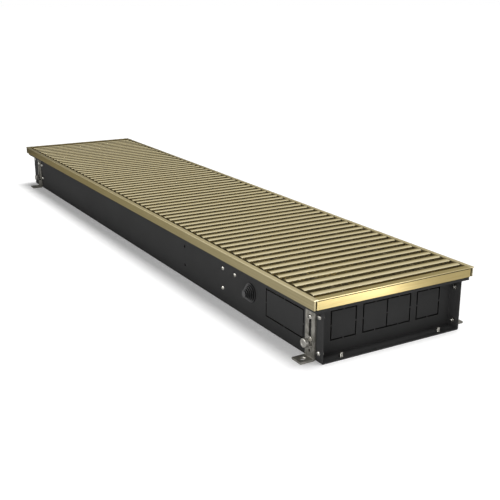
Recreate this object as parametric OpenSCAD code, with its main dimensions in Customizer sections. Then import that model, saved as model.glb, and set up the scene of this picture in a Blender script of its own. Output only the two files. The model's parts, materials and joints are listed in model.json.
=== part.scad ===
// Trench convector heater with a roll-up grille, in millimetres.
// X runs along the trench with the pipe connections near +X, Y across it and Z up.
// The origin is on the floor, under the middle of the heater.

/* [Trench] */
// Length of the trench's side walls
trench_l = 1212; // [1150:1:2400]
// Width over the trench's side walls
trench_w = 230; // [226:1:320]
// Height from the floor to the top of the frame
total_h = 90; // [88:1:140]
// Thickness of the trench's steel sheet
sheet_t = 1.2; // [0.8:0.1:1.5]
// How far the top flange stands out from a side wall
flange_out = 12; // [9:0.5:13]
// Height of the flange's down-turned lip
flange_lip_h = 5; // [3:0.5:7]
// How far an end plate sits back from the ends of the side walls
end_recess = 18; // [16:0.5:24]

/* [Knock-outs] */
// Side of a square knock-out in an end plate
knock_side = 39.5; // [30:0.5:40]
// Width of the web between an inner and an outer square
knock_web = 12; // [8:0.5:14]
// How far the squares' middle is over the middle of the end plate's height
knock_up = 3.25; // [0:0.25:5]
// How far the row of squares is set off the plate's middle
knock_shift = 1.5; // [0:0.5:6]
// Length of the side wall's knock-out
side_knock_l = 90.5; // [60:0.5:110]
// Height of the side wall's knock-out
side_knock_h = 39; // [30:0.5:42]
// How far its middle is over the middle of the wall's height
side_knock_up = 2; // [0:0.5:5]
// Distance from the wall's end to this knock-out
side_knock_in = 43; // [42:0.5:60]
// Width of the punched slots
slot_w = 1.3; // [0.8:0.1:2]
// Length of the bridges that hold a knock-out in
bridge_l = 3; // [2:0.5:5]

/* [Frame] */
// How far the frame's end faces stand past the ends of the side walls
frame_end_over = 3; // [2:0.25:6]
// How far the frame's side faces stand out from the side walls
frame_side_over = 16.25; // [15:0.25:18]
// Height of the frame's visible face
frame_face_h = 14; // [12.5:0.5:20]
// Thickness of the frame's outer leg
leg_t = 2.1; // [1.5:0.1:2.5]
// Thickness of the frame's inner leg
inner_leg_t = 1.7; // [1.2:0.1:2]
// Thickness of the frame's top lip
lip_t = 1.6; // [1.2:0.1:2]
// How far the lip stands over the face
lip_over = 0.75; // [0.3:0.05:1.5]
// Width of the top lip along the sides
side_lip_w = 6.7; // [6.2:0.1:8]
// Width of the top lip across the ends
end_lip_w = 9; // [8:0.1:9.5]
// Width of the ledge that carries the grille
ledge_w = 15; // [13:0.5:16]
// Thickness of that ledge
ledge_t = 1.4; // [1:0.1:2]

/* [Grille] */
// Width of a bar
bar_w = 10; // [8:0.5:12]
// Distance from bar to bar
bar_pitch = 19.55; // [17:0.05:26]
// Radius of a bar's domed top
bar_dome_r = 18; // [12:1:60]
// Wall thickness of a bar's hollow section
bar_wall = 1.3; // [1:0.1:1.6]
// Gap between a bar's end and the frame, with the grille in the middle
bar_end_gap = 2.8; // [2:0.1:6]
// How far the loose grille lies off the middle, towards +Y
grille_shift = 1.4; // [0:0.1:1.8]
// Least gap between the last bar and the frame's end lip
last_bar_gap = 4; // [4:0.5:9]
// Thickness of the rubber strip under the bars
strip_t = 1; // [0.5:0.1:2]
// Width of the rubber strip
strip_w = 10; // [8:0.5:12]
// Radius of the wires that string the bars
wire_r = 1.5; // [1:0.1:1.8]
// Distance of each wire from the middle of the grille
wire_y = 75; // [40:1:100]
// Outer radius of the spacer sleeves on the wires
sleeve_r = 2.8; // [2.4:0.1:3.4]

/* [Heat exchanger] */
// Width of a fin
fin_w = 150; // [140:1:180]
// Height of the fins' lower edge over the floor
fin_low = 18; // [10:1:22]
// Gap between the fins' upper edge and the top flange
fin_top_gap = 8; // [4:0.5:14]
// Thickness of a fin
fin_t = 0.5; // [0.4:0.1:1]
// Distance from fin to fin
fin_pitch = 8; // [6:0.5:14]
// Outer radius of the copper tubes
tube_r = 7.5; // [6:0.1:8]
// Wall thickness of the tubes
tube_wall = 0.8; // [0.6:0.1:1.2]
// Distance of the outer tubes from the fins' edge
tube_edge = 15; // [10:0.5:20]
// Core radius of the half-inch pipe thread in the fittings
port_r = 9.3; // [8:0.1:10]
// Depth of that thread
port_l = 14; // [8:0.5:16]
// Width across flats of the fittings' hexagon
fitting_af = 27; // [25:0.5:30]

/* [Feet] */
// Distance from the near end plate to the near feet's middle
near_foot_in = 5; // [4.5:0.1:12]
// Distance from the far end plate to the far feet's middle
far_foot_in = 27; // [20:0.5:34]
// Width of a foot bracket
foot_w = 21; // [18:0.5:24]
// Thickness of a foot bracket
foot_t = 2.8; // [2:0.1:3]
// Gap between a foot bracket's top and the top flange
foot_top_gap = 8; // [6:0.5:10]
// How far a foot reaches out from the side wall
foot_out = 23; // [20:0.5:30]
// Radius of the anchor hole in a foot
anchor_r = 3.4; // [2.5:0.1:5]
// Distance of the anchor hole from the side wall
anchor_out = 13; // [12.5:0.5:14]
// How far a foot can be lowered
foot_travel = 20; // [5:1:20]
// Height of the clamp bolts over the floor
clamp_z = 23.5; // [22:0.5:26]
// Distance of the guide screws below the top flange
guide_down = 19; // [18:0.5:21]
// Shank radius of the clamp bolts
clamp_r = 2.5; // [2.2:0.1:3]
// Radius of the clamp bolts' round head
clamp_head_r = 6.2; // [5.5:0.1:7]
// Height of that head
clamp_head_h = 5.3; // [4:0.1:6]

/* [Small parts] */
// Distance of the grommet from the near end of the walls
grommet_in = 175; // [170:1:195]
// How far the grommet is over the middle of the wall's height
grommet_up = 3; // [-4:0.5:8]
// Radius of the grommet's outer flange
grommet_r = 14; // [12:0.5:16]
// How far the grommet's cone stands out
grommet_l = 12; // [8:0.5:16]
// Shank radius of the small machine screws
screw_r = 2; // [1.5:0.1:2.2]
// Distance of the upper row of side screws below the top flange
upper_row_down = 22; // [18:0.5:26]
// Height of the lower row of side screws over the floor
lower_row_z = 23; // [20:0.5:28]
// Radius of the joining studs in the end recesses
stud_r = 2.5; // [2:0.1:3]
// Height of the joining studs
stud_h = 6.6; // [5:0.1:10]
// Distance of each joining stud from the middle of the heater
stud_y = 82; // [60:1:88]

/* [Hidden] */
$fn = 48;

paint_col = "#303030";
gold_col = "#b7a673";
bar_col = "#d2c69c";
steel_col = "#b9b6ae";
copper_col = "#b8734a";
fin_col = "#c9cccd";
brass_col = "#b89b4e";
rubber_col = "#1c1c1c";

// Clearances: between fitted sheets, around a sliding foot, around a screw and in a thread
fit_gap = 0.1;
slide_gap = 0.1;
hole_gap = 0.2;
thread_gap = 0.05;
// Overrun of every cut past the faces that it opens
cut = 1;

// Trench
wall_out = trench_w / 2;
wall_in = wall_out - sheet_t;
wall_end = trench_l / 2;
flange_z = total_h - frame_face_h;
end_x = wall_end - end_recess;
end_half_w = wall_in - fit_gap;
end_flange_margin = 1;
lip_edge_y = wall_out + flange_out;
slot_half = slot_w / 2;
knock_z = flange_z / 2 + knock_up - knock_side / 2;
side_knock_z = flange_z / 2 + side_knock_up - side_knock_h / 2;

// Frame: the legs' places follow from the lip's
frame_l = trench_l + 2 * frame_end_over;
frame_w = trench_w + 2 * frame_side_over;
lip_z = total_h - lip_t;
side_in = frame_w / 2 + lip_over - side_lip_w;
end_in = frame_l / 2 + lip_over - end_lip_w;
side_leg_out = side_in + inner_leg_t;
end_leg_out = end_in + inner_leg_t;
ledge_z = flange_z + ledge_t;

// Corner keys lie in the hollow between the outer and the inner leg
key_t = frame_w / 2 - leg_t - side_leg_out - 2 * fit_gap;
key_h = 9;
key_leg = 40;
key_z = flange_z + (lip_z - flange_z - key_h) / 2;

// Grille
bar_z = ledge_z + strip_t;
bar_h = total_h - bar_z;
bar_half_l = side_in - bar_end_gap;
bar_n = floor((2 * end_in - bar_w - 2 * last_bar_gap) / bar_pitch) + 1;
bar_half_run = (bar_n - 1) / 2 * bar_pitch;
strip_inset = 0.8;
strip_end_gap = 2;
wire_height_share = 0.38;
wire_z = bar_z + bar_h * wire_height_share;
stop_l = 2.5;
stop_wall = 1.6;
wire_end = 2;

// Small machine screws: head, nut and how far the tip stands out of the nut
head_r = 1.75 * screw_r;
head_h = 1.2 * screw_r;
nut_r = 1.75 * screw_r;
nut_h = 1.6 * screw_r;
tip_l = 1.2;
end_screw_in = 8.4;
end_screw_down = 15;
end_screw_high_z = flange_z - end_screw_down;
end_screw_low_z = 12.4;

// Places of the side screws: supports at both ends of the fins, and the pipes
upper_row_z = flange_z - upper_row_down;
near_support_in = 256.8;
far_support_in = 60.5;
connection_in = 220.6;
spare_hole_in = 385;
near_support_x = wall_end - near_support_in;
far_support_x = -wall_end + far_support_in;
connection_x = wall_end - connection_in;
spare_hole_x = wall_end - spare_hole_in;

// Supports: the plate stands half a flange from its screws
support_flange = 12;
support_low = 4;
support_top_gap = 6;
support_top_z = flange_z - support_top_gap;
tube_hole_gap = 0.4;
fin_end_gap = 4;
near_plate_x = near_support_x - support_flange / 2;
far_plate_x = far_support_x + support_flange / 2;

// Fins
fin_span = near_plate_x - far_plate_x - 2 * fin_end_gap;
fin_n = floor((fin_span - fin_t) / fin_pitch) + 1;
fin_mid_x = (near_plate_x + far_plate_x) / 2;
fin_start_x = fin_mid_x - (fin_n - 1) / 2 * fin_pitch;

// Tubes run through the fins' middle, evenly spaced across them
fin_h = flange_z - fin_top_gap - fin_low;
tube_z = fin_low + fin_h / 2;
tube_pitch = (fin_w - 2 * tube_edge) / 3;
inner_tube_y = tube_pitch / 2;
outer_tube_y = tube_pitch * 3 / 2;
bend_r = tube_pitch / 2;
bend_stub = 5;
far_bend_x = far_plate_x - sheet_t - bend_stub;
near_bend_x = near_plate_x + sheet_t + bend_stub;

// Fittings: a barrel through the connection plate, a hexagon before it and a threaded mouth
barrel_wall = 2.5;
barrel_r = tube_r + barrel_wall;
barrel_l = 16;
hex_l = 10;
mouth_l = 13.5;
mouth_wall = 3.7;
lock_nut_h = 4;
socket_l = 12;
plate_front_x = connection_x + support_flange / 2;

// Air vent on the return fitting
vent_r = 4.8;
vent_h = 6.5;
vent_screw_r = 2.5;
vent_depth = 5;
vent_head_r = 4;
vent_head_h = 2.4;
vent_slot_w = 1.2;
vent_slot_h = 1.2;
vent_z = tube_z + fitting_af / 2;

// Joining studs stand on the end plates' bottom flanges
stud_in = 4.5;

// Feet: face of the bracket, then washer, lock nut and head on the clamp bolt
foot_x_near = end_x - sheet_t - near_foot_in;
foot_x_far = -end_x + sheet_t + far_foot_in;
foot_face_y = wall_out + slide_gap + foot_t;
foot_tip_y = wall_out + foot_out;
foot_h = flange_z - foot_top_gap;
guide_z = flange_z - guide_down;
washer_t = 1;
washer_r = 8;
clamp_nut_af = 8;
clamp_lock_af = 12;
clamp_lock_h = 4;
clamp_inner_h = 5;
clamp_tip = 3;
clamp_nut_y = foot_face_y + slide_gap + washer_t;
clamp_head_y = clamp_nut_y + clamp_lock_h;
foot_slot_half = clamp_r + hole_gap;
guide_slot_half = screw_r + hole_gap;
foot_slot_low = clamp_z - foot_slot_half;
foot_slot_high = guide_z + guide_slot_half;
pilot_r = 1.8;
pilot_z = 11.3;

// Grommet: groove in the wall, a flange inside, and steps down the cone
grommet_x = wall_end - grommet_in;
grommet_z = flange_z / 2 + grommet_up;
grommet_rim = 3;
grommet_groove_r = grommet_r - grommet_rim;
grommet_flange_t = 2;
grommet_inner_t = 1.8;
grommet_tip_r = 3.5;
grommet_bore_r = 3;
grommet_skin = 1.5;
grommet_steps = 5;

module mirror_y(side) {
    if (side > 0) mirror([0, 1, 0]) children();
    else children();
}

module mirror_x(side) {
    if (side < 0) mirror([1, 0, 0]) children();
    else children();
}

// A round rod along Y, from a given Y outwards by its length
module rod_y(r, l) {
    rotate([90, 0, 0]) cylinder(r = r, h = l);
}

// A round rod along X
module rod_x(r, l) {
    rotate([0, 90, 0]) cylinder(r = r, h = l);
}

// A slot with round ends, standing along Z and running through along -Y
module slot_y(half_w, low, high, l) {
    for (z = [low + half_w, high - half_w])
        translate([0, 0, z]) rod_y(half_w, l);
    translate([-half_w, -l, low + half_w]) cube([2 * half_w, l, high - low - 2 * half_w]);
}

// Outline of a knock-out as broken slots, with a bridge in the middle of each side
module knock_outline(w, h) {
    difference() {
        translate([-slot_half, -slot_half]) square([w + slot_w, h + slot_w]);
        translate([slot_half, slot_half]) square([w - slot_w, h - slot_w]);
        translate([w / 2 - bridge_l / 2, -slot_w]) square([bridge_l, h + 2 * slot_w]);
        translate([-slot_w, h / 2 - bridge_l / 2]) square([w + 2 * slot_w, bridge_l]);
    }
}

// Domed machine screw: the head's seat is at the origin and the shank runs along +Y
module pan_screw(shank_l) {
    dome_r = (head_r * head_r + head_h * head_h) / (2 * head_h);
    rotate([-90, 0, 0]) cylinder(r = screw_r, h = shank_l);
    intersection() {
        translate([0, -head_h + dome_r, 0]) sphere(r = dome_r);
        rod_y(head_r, head_h);
    }
}

// Hexagonal nut along +Y with its first face at the origin
module hex_nut(af, h, bore_r) {
    rotate([-90, 0, 0]) difference() {
        rotate([0, 0, 30]) cylinder(r = af / 2 / cos(30), h = h, $fn = 6);
        translate([0, 0, -cut]) cylinder(r = bore_r, h = h + 2 * cut);
    }
}

// Children are set at every side screw of one wall
module at_side_screws() {
    for (p = [[near_support_x, upper_row_z], [near_support_x, lower_row_z],
              [connection_x, upper_row_z],
              [far_support_x, upper_row_z], [far_support_x, lower_row_z]])
        translate([p[0], -wall_out, p[1]]) children();
}

// Children are set at every end-plate screw of one wall
module at_end_screws() {
    for (x = [-wall_end + end_screw_in, wall_end - end_screw_in])
        for (z = [end_screw_low_z, end_screw_high_z])
            translate([x, -wall_out, z]) children();
}

module at_feet() {
    for (x = [foot_x_near, foot_x_far]) translate([x, 0, 0]) children();
}

module both_sides() {
    for (side = [-1, 1]) mirror_y(side) children();
}

// One wall's sheet: wall, top flange and down-turned lip
module tray_wall() {
    translate([-wall_end, -wall_out, 0]) cube([trench_l, sheet_t, flange_z]);
    translate([-wall_end, -lip_edge_y, flange_z - sheet_t])
        cube([trench_l, flange_out + sheet_t, sheet_t]);
    translate([-wall_end, -lip_edge_y, flange_z - flange_lip_h])
        cube([trench_l, sheet_t, flange_lip_h]);
}

// Everything that is punched in both walls
module wall_holes() {
    wall_cut = sheet_t + 2 * cut;
    translate([0, wall_cut - cut, 0]) {
        at_side_screws() rod_y(screw_r + hole_gap, wall_cut);
        at_end_screws() rod_y(screw_r + hole_gap, wall_cut);
        for (z = [upper_row_z, lower_row_z])
            translate([spare_hole_x, -wall_out, z]) rod_y(screw_r + hole_gap, wall_cut);
        at_feet() translate([0, -wall_out, 0]) {
            translate([0, 0, clamp_z]) rod_y(clamp_r + hole_gap, wall_cut);
            slot_y(guide_slot_half, guide_z - foot_travel - guide_slot_half,
                guide_z + guide_slot_half, wall_cut);
        }
    }
}

module trench_tray() {
    wall_cut = sheet_t + 2 * cut;
    color(paint_col) difference() {
        union() {
            translate([-wall_end, -wall_out, 0]) cube([trench_l, trench_w, sheet_t]);
            both_sides() tray_wall();
        }
        both_sides() wall_holes();
        translate([wall_end - side_knock_in - side_knock_l, -wall_out + sheet_t + cut, side_knock_z])
            rotate([90, 0, 0]) linear_extrude(wall_cut) knock_outline(side_knock_l, side_knock_h);
        translate([grommet_x, -wall_out + sheet_t + cut, grommet_z])
            rod_y(grommet_groove_r, wall_cut);
    }
}

// End plate in its place at +X: a pan whose flanges point outwards
module end_plate() {
    flange_l = end_recess - end_flange_margin;
    lip_x = wall_end + fit_gap;
    plate_cut = sheet_t + 2 * cut;
    difference() {
        union() {
            translate([end_x - sheet_t, -end_half_w, sheet_t])
                cube([sheet_t, 2 * end_half_w, flange_z - sheet_t]);
            translate([end_x - sheet_t, -end_half_w, sheet_t])
                cube([flange_l + sheet_t, 2 * end_half_w, sheet_t]);
            both_sides() translate([end_x - sheet_t, -end_half_w, sheet_t])
                cube([flange_l + sheet_t, sheet_t, flange_z - sheet_t]);
            translate([end_x - sheet_t, -end_half_w, flange_z - sheet_t])
                cube([lip_x - end_x + 2 * sheet_t, 2 * end_half_w, sheet_t]);
            translate([lip_x, -lip_edge_y, flange_z - flange_lip_h])
                cube([sheet_t, 2 * lip_edge_y, flange_lip_h]);
        }
        for (y = [-knock_side * 2 - knock_web, -knock_side, 0, knock_side + knock_web])
            translate([end_x - sheet_t - cut, y + knock_shift, knock_z])
                rotate([90, 0, 90]) linear_extrude(plate_cut) knock_outline(knock_side, knock_side);
        both_sides() for (z = [end_screw_low_z, end_screw_high_z])
            translate([wall_end - end_screw_in, -wall_in + plate_cut, z])
                rod_y(screw_r + hole_gap, plate_cut + cut);
    }
}

module end_plate_near() { color(paint_col) end_plate(); }
module end_plate_far() { color(paint_col) mirror([1, 0, 0]) end_plate(); }

// Frame section seen along its run: u points inwards from the outer face, v up from the floor
module frame_section(lip_w) {
    inner_u = lip_w - lip_over - inner_leg_t;
    translate([0, flange_z]) square([leg_t, lip_z - flange_z + lip_t / 2]);
    translate([-lip_over + lip_t / 2, lip_z]) square([lip_w - lip_t / 2, lip_t]);
    translate([-lip_over + lip_t / 2, lip_z + lip_t / 2]) circle(r = lip_t / 2);
    translate([inner_u, ledge_z - ledge_t / 2]) square([inner_leg_t, lip_z - ledge_z + ledge_t]);
    translate([inner_u, flange_z]) square([ledge_w, ledge_t]);
}

// Side profile at -Y: full length, with its inner leg and ledge cut back for the end profiles
module frame_side() {
    run = frame_l + 2 * lip_over;
    notch = run / 2 - end_in + fit_gap;
    difference() {
        translate([-run / 2, -frame_w / 2, 0])
            rotate([90, 0, 90]) linear_extrude(run) frame_section(side_lip_w);
        both_ends() translate([end_in - fit_gap, -side_leg_out - fit_gap, flange_z - cut])
            cube([notch + cut, ledge_w + fit_gap + cut, lip_z - flange_z + cut]);
        both_ends() translate([frame_l / 2, -frame_w / 2 - cut, flange_z - cut])
            cube([lip_over + cut, leg_t + 2 * cut, lip_z - flange_z + cut]);
    }
}

module both_ends() {
    for (side = [1, -1]) mirror_x(side) children();
}

// End profile at +X: its lip fits between the side lips and its face laps the side's inner leg
module frame_end() {
    face_w = 2 * side_leg_out;
    lip_half = side_in - fit_gap;
    ledge_half = side_leg_out - ledge_w - fit_gap;
    side_cut = face_w / 2 - lip_half + cut;
    difference() {
        translate([frame_l / 2, -face_w / 2, 0])
            rotate([90, 0, 180]) linear_extrude(face_w) frame_section(end_lip_w);
        both_sides() translate([end_in - cut, -face_w / 2 - cut, lip_z])
            cube([end_lip_w + 2 * cut, side_cut, lip_t + cut]);
        both_sides() translate([end_leg_out - ledge_w - cut, -face_w / 2 - cut, flange_z - cut])
            cube([ledge_w + cut + fit_gap, side_cut, lip_z - flange_z + 2 * cut]);
        both_sides() translate([end_leg_out - ledge_w - cut, -face_w / 2 - cut, flange_z - cut])
            cube([ledge_w + cut - inner_leg_t, face_w / 2 - ledge_half + cut, ledge_t + cut + fit_gap]);
    }
}

module frame_side_left() { color(gold_col) frame_side(); }
module frame_side_right() { color(gold_col) mirror([0, 1, 0]) frame_side(); }
module frame_end_near() { color(gold_col) frame_end(); }
module frame_end_far() { color(gold_col) mirror([1, 0, 0]) frame_end(); }

// Angle pieces that join the profiles, one in each corner
module corner_keys() {
    key_x = end_leg_out + fit_gap;
    key_y = side_leg_out + fit_gap;
    color(steel_col) both_ends() both_sides() {
        translate([key_x + key_t - key_leg, -key_y - key_t, key_z]) cube([key_leg, key_t, key_h]);
        translate([key_x, -key_y - key_t, key_z]) cube([key_t, key_leg, key_h]);
    }
}

module cushion_strip() {
    half = end_in - strip_end_gap;
    translate([-half, -side_in + strip_inset, ledge_z]) cube([2 * half, strip_w, strip_t]);
}

module cushion_strip_left() { color(rubber_col) cushion_strip(); }
module cushion_strip_right() { color(rubber_col) mirror([0, 1, 0]) cushion_strip(); }

// Hollow bar section: X across and Y up, with a domed top
module bar_section() {
    inner_w = bar_w - 2 * bar_wall;
    difference() {
        intersection() {
            translate([-bar_w / 2, 0]) square([bar_w, bar_h]);
            translate([0, bar_h - bar_dome_r]) circle(r = bar_dome_r, $fn = 96);
        }
        intersection() {
            translate([-inner_w / 2, bar_wall]) square([inner_w, bar_h - 2 * bar_wall]);
            translate([0, bar_h - bar_dome_r]) circle(r = bar_dome_r - bar_wall, $fn = 96);
        }
    }
}

module grille_bars() {
    color(bar_col) for (i = [0 : bar_n - 1])
        translate([i * bar_pitch - bar_half_run, grille_shift + bar_half_l, bar_z]) difference() {
            rotate([90, 0, 0]) linear_extrude(2 * bar_half_l) bar_section();
            for (y = [-wire_y, wire_y])
                translate([-bar_w / 2 - cut, y - bar_half_l, wire_z - bar_z])
                    rod_x(wire_r + hole_gap, bar_w + 2 * cut);
        }
}

module grille_wires() {
    half = bar_half_run + bar_w / 2 + wire_end;
    color(steel_col) for (y = [-wire_y, wire_y])
        translate([-half, y + grille_shift, wire_z]) rod_x(wire_r, 2 * half);
}

module grille_sleeves() {
    sleeve_l = bar_pitch - bar_w - 2 * fit_gap;
    color(rubber_col) for (i = [0 : bar_n - 2]) for (y = [-wire_y, wire_y])
        translate([i * bar_pitch - bar_half_run + bar_w / 2 + fit_gap, y + grille_shift, wire_z]) difference() {
            rod_x(sleeve_r, sleeve_l);
            translate([-cut, 0, 0]) rod_x(wire_r + hole_gap, sleeve_l + 2 * cut);
        }
}

module grille_end_stops() {
    color(steel_col) both_ends() for (y = [-wire_y, wire_y])
        translate([bar_half_run + bar_w / 2 + fit_gap, y + grille_shift, wire_z]) difference() {
            rod_x(wire_r + stop_wall, stop_l);
            translate([-cut, 0, 0]) rod_x(wire_r + thread_gap, wire_end - fit_gap + cut);
        }
}

module at_tubes() {
    for (y = [-outer_tube_y, -inner_tube_y, inner_tube_y, outer_tube_y])
        translate([0, y, tube_z]) children();
}

module fin_pack() {
    color(fin_col) for (i = [0 : fin_n - 1])
        translate([fin_start_x + i * fin_pitch - fin_t / 2, 0, 0]) difference() {
            translate([0, -fin_w / 2, tube_z - fin_h / 2]) cube([fin_t, fin_w, fin_h]);
            translate([-cut, 0, 0]) at_tubes() rod_x(tube_r + thread_gap, fin_t + 2 * cut);
        }
}

// Half a ring of tube that opens towards +X, its ends one tube pitch apart across Y
module tube_bend() {
    rotate([0, 0, 90]) rotate_extrude(angle = 180) translate([bend_r, 0]) difference() {
        circle(r = tube_r);
        circle(r = tube_r - tube_wall);
    }
}

// Straight hollow tube along X from one place to another
module tube_run(x0, x1) {
    translate([x0, 0, 0]) difference() {
        rod_x(tube_r, x1 - x0);
        translate([-cut, 0, 0]) rod_x(tube_r - tube_wall, x1 - x0 + 2 * cut);
    }
}

// Hairpin at -Y: a long outer leg to the fitting, a bend past the fins and an inner leg
module hairpin() {
    tube_end_x = plate_front_x - barrel_l + socket_l;
    translate([0, -outer_tube_y, tube_z]) tube_run(far_bend_x, tube_end_x);
    translate([0, -inner_tube_y, tube_z]) tube_run(far_bend_x, near_bend_x);
    translate([far_bend_x, -tube_pitch, tube_z]) tube_bend();
}

module hairpin_left() { color(copper_col) hairpin(); }
module hairpin_right() { color(copper_col) mirror([0, 1, 0]) hairpin(); }

module return_bend() {
    color(copper_col) translate([near_bend_x, 0, tube_z]) mirror([1, 0, 0]) tube_bend();
}

// Cross plate with a flange at each wall; the flange points towards +X from the plate
module cross_plate(screws) {
    difference() {
        union() {
            translate([0, -end_half_w, support_low])
                cube([sheet_t, 2 * end_half_w, support_top_z - support_low]);
            both_sides() translate([0, -end_half_w, support_low])
                cube([support_flange, sheet_t, support_top_z - support_low]);
        }
        children();
        both_sides() for (z = screws)
            translate([support_flange / 2, -wall_in + sheet_t + 2 * cut, z])
                rod_y(screw_r + hole_gap, sheet_t + 3 * cut);
    }
}

module tube_holes() {
    translate([-cut, 0, 0]) at_tubes() rod_x(tube_r + tube_hole_gap, sheet_t + 2 * cut);
}

module support_near() {
    color(fin_col) translate([near_plate_x, 0, 0])
        cross_plate([lower_row_z, upper_row_z]) tube_holes();
}

module support_far() {
    color(fin_col) translate([far_plate_x, 0, 0]) mirror([1, 0, 0])
        cross_plate([lower_row_z, upper_row_z]) tube_holes();
}

module connection_plate() {
    color(fin_col) translate([plate_front_x, 0, 0]) mirror([1, 0, 0])
        cross_plate([upper_row_z]) fitting_holes();
}

module fitting_holes() {
    for (y = [-outer_tube_y, outer_tube_y])
        translate([-cut, y, tube_z]) rod_x(barrel_r + hole_gap, sheet_t + 2 * cut);
}

// Pipe fitting along +X from the plate's front face
module fitting() {
    translate([0, 0, tube_z]) difference() {
        union() {
            translate([-barrel_l, 0, 0]) rod_x(barrel_r, barrel_l + hex_l);
            rotate([0, 90, 0]) rotate([0, 0, 30])
                cylinder(r = fitting_af / 2 / cos(30), h = hex_l, $fn = 6);
            rod_x(port_r + mouth_wall, hex_l + mouth_l);
        }
        translate([-barrel_l - cut, 0, 0]) rod_x(tube_r + thread_gap, socket_l + cut);
        translate([-barrel_l, 0, 0]) rod_x(tube_r - tube_wall, barrel_l + hex_l + mouth_l);
        translate([hex_l + mouth_l - port_l, 0, 0]) rod_x(port_r, port_l + cut);
    }
}

module supply_fitting() {
    color(brass_col) translate([plate_front_x, -outer_tube_y, 0]) fitting();
}

module return_fitting() {
    color(brass_col) translate([plate_front_x, outer_tube_y, 0]) fitting();
}

module fitting_lock_nuts() {
    color(brass_col) for (y = [-outer_tube_y, outer_tube_y])
        translate([plate_front_x - sheet_t, y, tube_z]) rotate([0, 0, 90])
            hex_nut(fitting_af, lock_nut_h, barrel_r + thread_gap);
}

module at_vent() {
    translate([plate_front_x + hex_l / 2, outer_tube_y, vent_z]) children();
}

module vent_body() {
    color(brass_col) at_vent() difference() {
        cylinder(r = vent_r, h = vent_h);
        translate([0, 0, vent_h - vent_depth]) cylinder(r = vent_screw_r + thread_gap, h = vent_depth + cut);
    }
}

module vent_screw() {
    pin_gap = 0.5;
    color(steel_col) at_vent() translate([0, 0, vent_h]) difference() {
        union() {
            translate([0, 0, pin_gap - vent_depth]) cylinder(r = vent_screw_r, h = vent_depth - pin_gap);
            translate([0, 0, fit_gap]) cylinder(r = vent_head_r, h = vent_head_h);
            cylinder(r = vent_screw_r, h = vent_head_h);
        }
        translate([-vent_head_r - cut, -vent_slot_w / 2, vent_head_h - vent_slot_h])
            cube([2 * (vent_head_r + cut), vent_slot_w, vent_slot_h + cut]);
    }
}

// Rubber grommet: it points along -Y, with a closed tip that is cut open for a cable
module cable_grommet() {
    step_l = (grommet_l - grommet_flange_t) / grommet_steps;
    step_r = (grommet_groove_r - grommet_tip_r) / grommet_steps;
    hollow_l = grommet_l - grommet_skin;
    color(rubber_col) translate([grommet_x, -wall_out, grommet_z]) difference() {
        union() {
            rod_y(grommet_r, grommet_flange_t);
            for (i = [0 : grommet_steps - 1])
                rod_y(grommet_groove_r - i * step_r, grommet_flange_t + (i + 1) * step_l);
            translate([0, sheet_t, 0]) rod_y(grommet_groove_r - fit_gap, sheet_t);
            translate([0, sheet_t + grommet_inner_t, 0]) rod_y(grommet_r - grommet_flange_t, grommet_inner_t);
        }
        translate([0, sheet_t + grommet_inner_t + cut, 0])
            rod_y(grommet_bore_r, hollow_l + sheet_t + grommet_inner_t + cut);
    }
}

// Foot bracket at -Y and X = 0
module foot_bracket() {
    foot_y = wall_out + slide_gap;
    difference() {
        union() {
            translate([-foot_w / 2, -foot_face_y, 0]) cube([foot_w, foot_t, foot_h]);
            translate([-foot_w / 2, -foot_tip_y, 0]) cube([foot_w, foot_tip_y - foot_y, foot_t]);
        }
        translate([0, -foot_y + cut, 0])
            slot_y(foot_slot_half, foot_slot_low, foot_slot_high, foot_t + 2 * cut);
        translate([0, -foot_y + cut, pilot_z]) rod_y(pilot_r, foot_t + 2 * cut);
        translate([0, -wall_out - anchor_out, -cut]) cylinder(r = anchor_r, h = foot_t + 2 * cut);
    }
}

module guide_screw() {
    shank_l = foot_face_y - wall_in + slide_gap + nut_h + tip_l;
    translate([0, -foot_face_y, guide_z]) pan_screw(shank_l);
}

module guide_nut() {
    translate([0, -wall_in + slide_gap, guide_z]) hex_nut(2 * nut_r, nut_h, screw_r + thread_gap);
}

module foot_bracket_near_left() { color(steel_col) translate([foot_x_near, 0, 0]) foot_bracket(); }
module foot_bracket_near_right() {
    color(steel_col) translate([foot_x_near, 0, 0]) mirror([0, 1, 0]) foot_bracket();
}
module foot_bracket_far_left() { color(steel_col) translate([foot_x_far, 0, 0]) foot_bracket(); }
module foot_bracket_far_right() {
    color(steel_col) translate([foot_x_far, 0, 0]) mirror([0, 1, 0]) foot_bracket();
}

module guide_screw_near_left() { color(steel_col) translate([foot_x_near, 0, 0]) guide_screw(); }
module guide_screw_near_right() {
    color(steel_col) translate([foot_x_near, 0, 0]) mirror([0, 1, 0]) guide_screw();
}
module guide_screw_far_left() { color(steel_col) translate([foot_x_far, 0, 0]) guide_screw(); }
module guide_screw_far_right() {
    color(steel_col) translate([foot_x_far, 0, 0]) mirror([0, 1, 0]) guide_screw();
}

module guide_nut_near_left() { color(steel_col) translate([foot_x_near, 0, 0]) guide_nut(); }
module guide_nut_near_right() {
    color(steel_col) translate([foot_x_near, 0, 0]) mirror([0, 1, 0]) guide_nut();
}
module guide_nut_far_left() { color(steel_col) translate([foot_x_far, 0, 0]) guide_nut(); }
module guide_nut_far_right() {
    color(steel_col) translate([foot_x_far, 0, 0]) mirror([0, 1, 0]) guide_nut();
}

module clamp_bolts() {
    shank_l = clamp_head_y - wall_in + clamp_inner_h + clamp_tip;
    color(steel_col) both_sides() at_feet() translate([0, -clamp_head_y, clamp_z]) {
        rod_y(clamp_head_r, clamp_head_h);
        rotate([-90, 0, 0]) cylinder(r = clamp_r, h = shank_l);
    }
}

module clamp_washers() {
    color(steel_col) both_sides() at_feet() translate([0, -clamp_nut_y + washer_t, clamp_z])
        difference() {
            rod_y(washer_r, washer_t);
            translate([0, cut, 0]) rod_y(clamp_r + hole_gap, washer_t + 2 * cut);
        }
}

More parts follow.
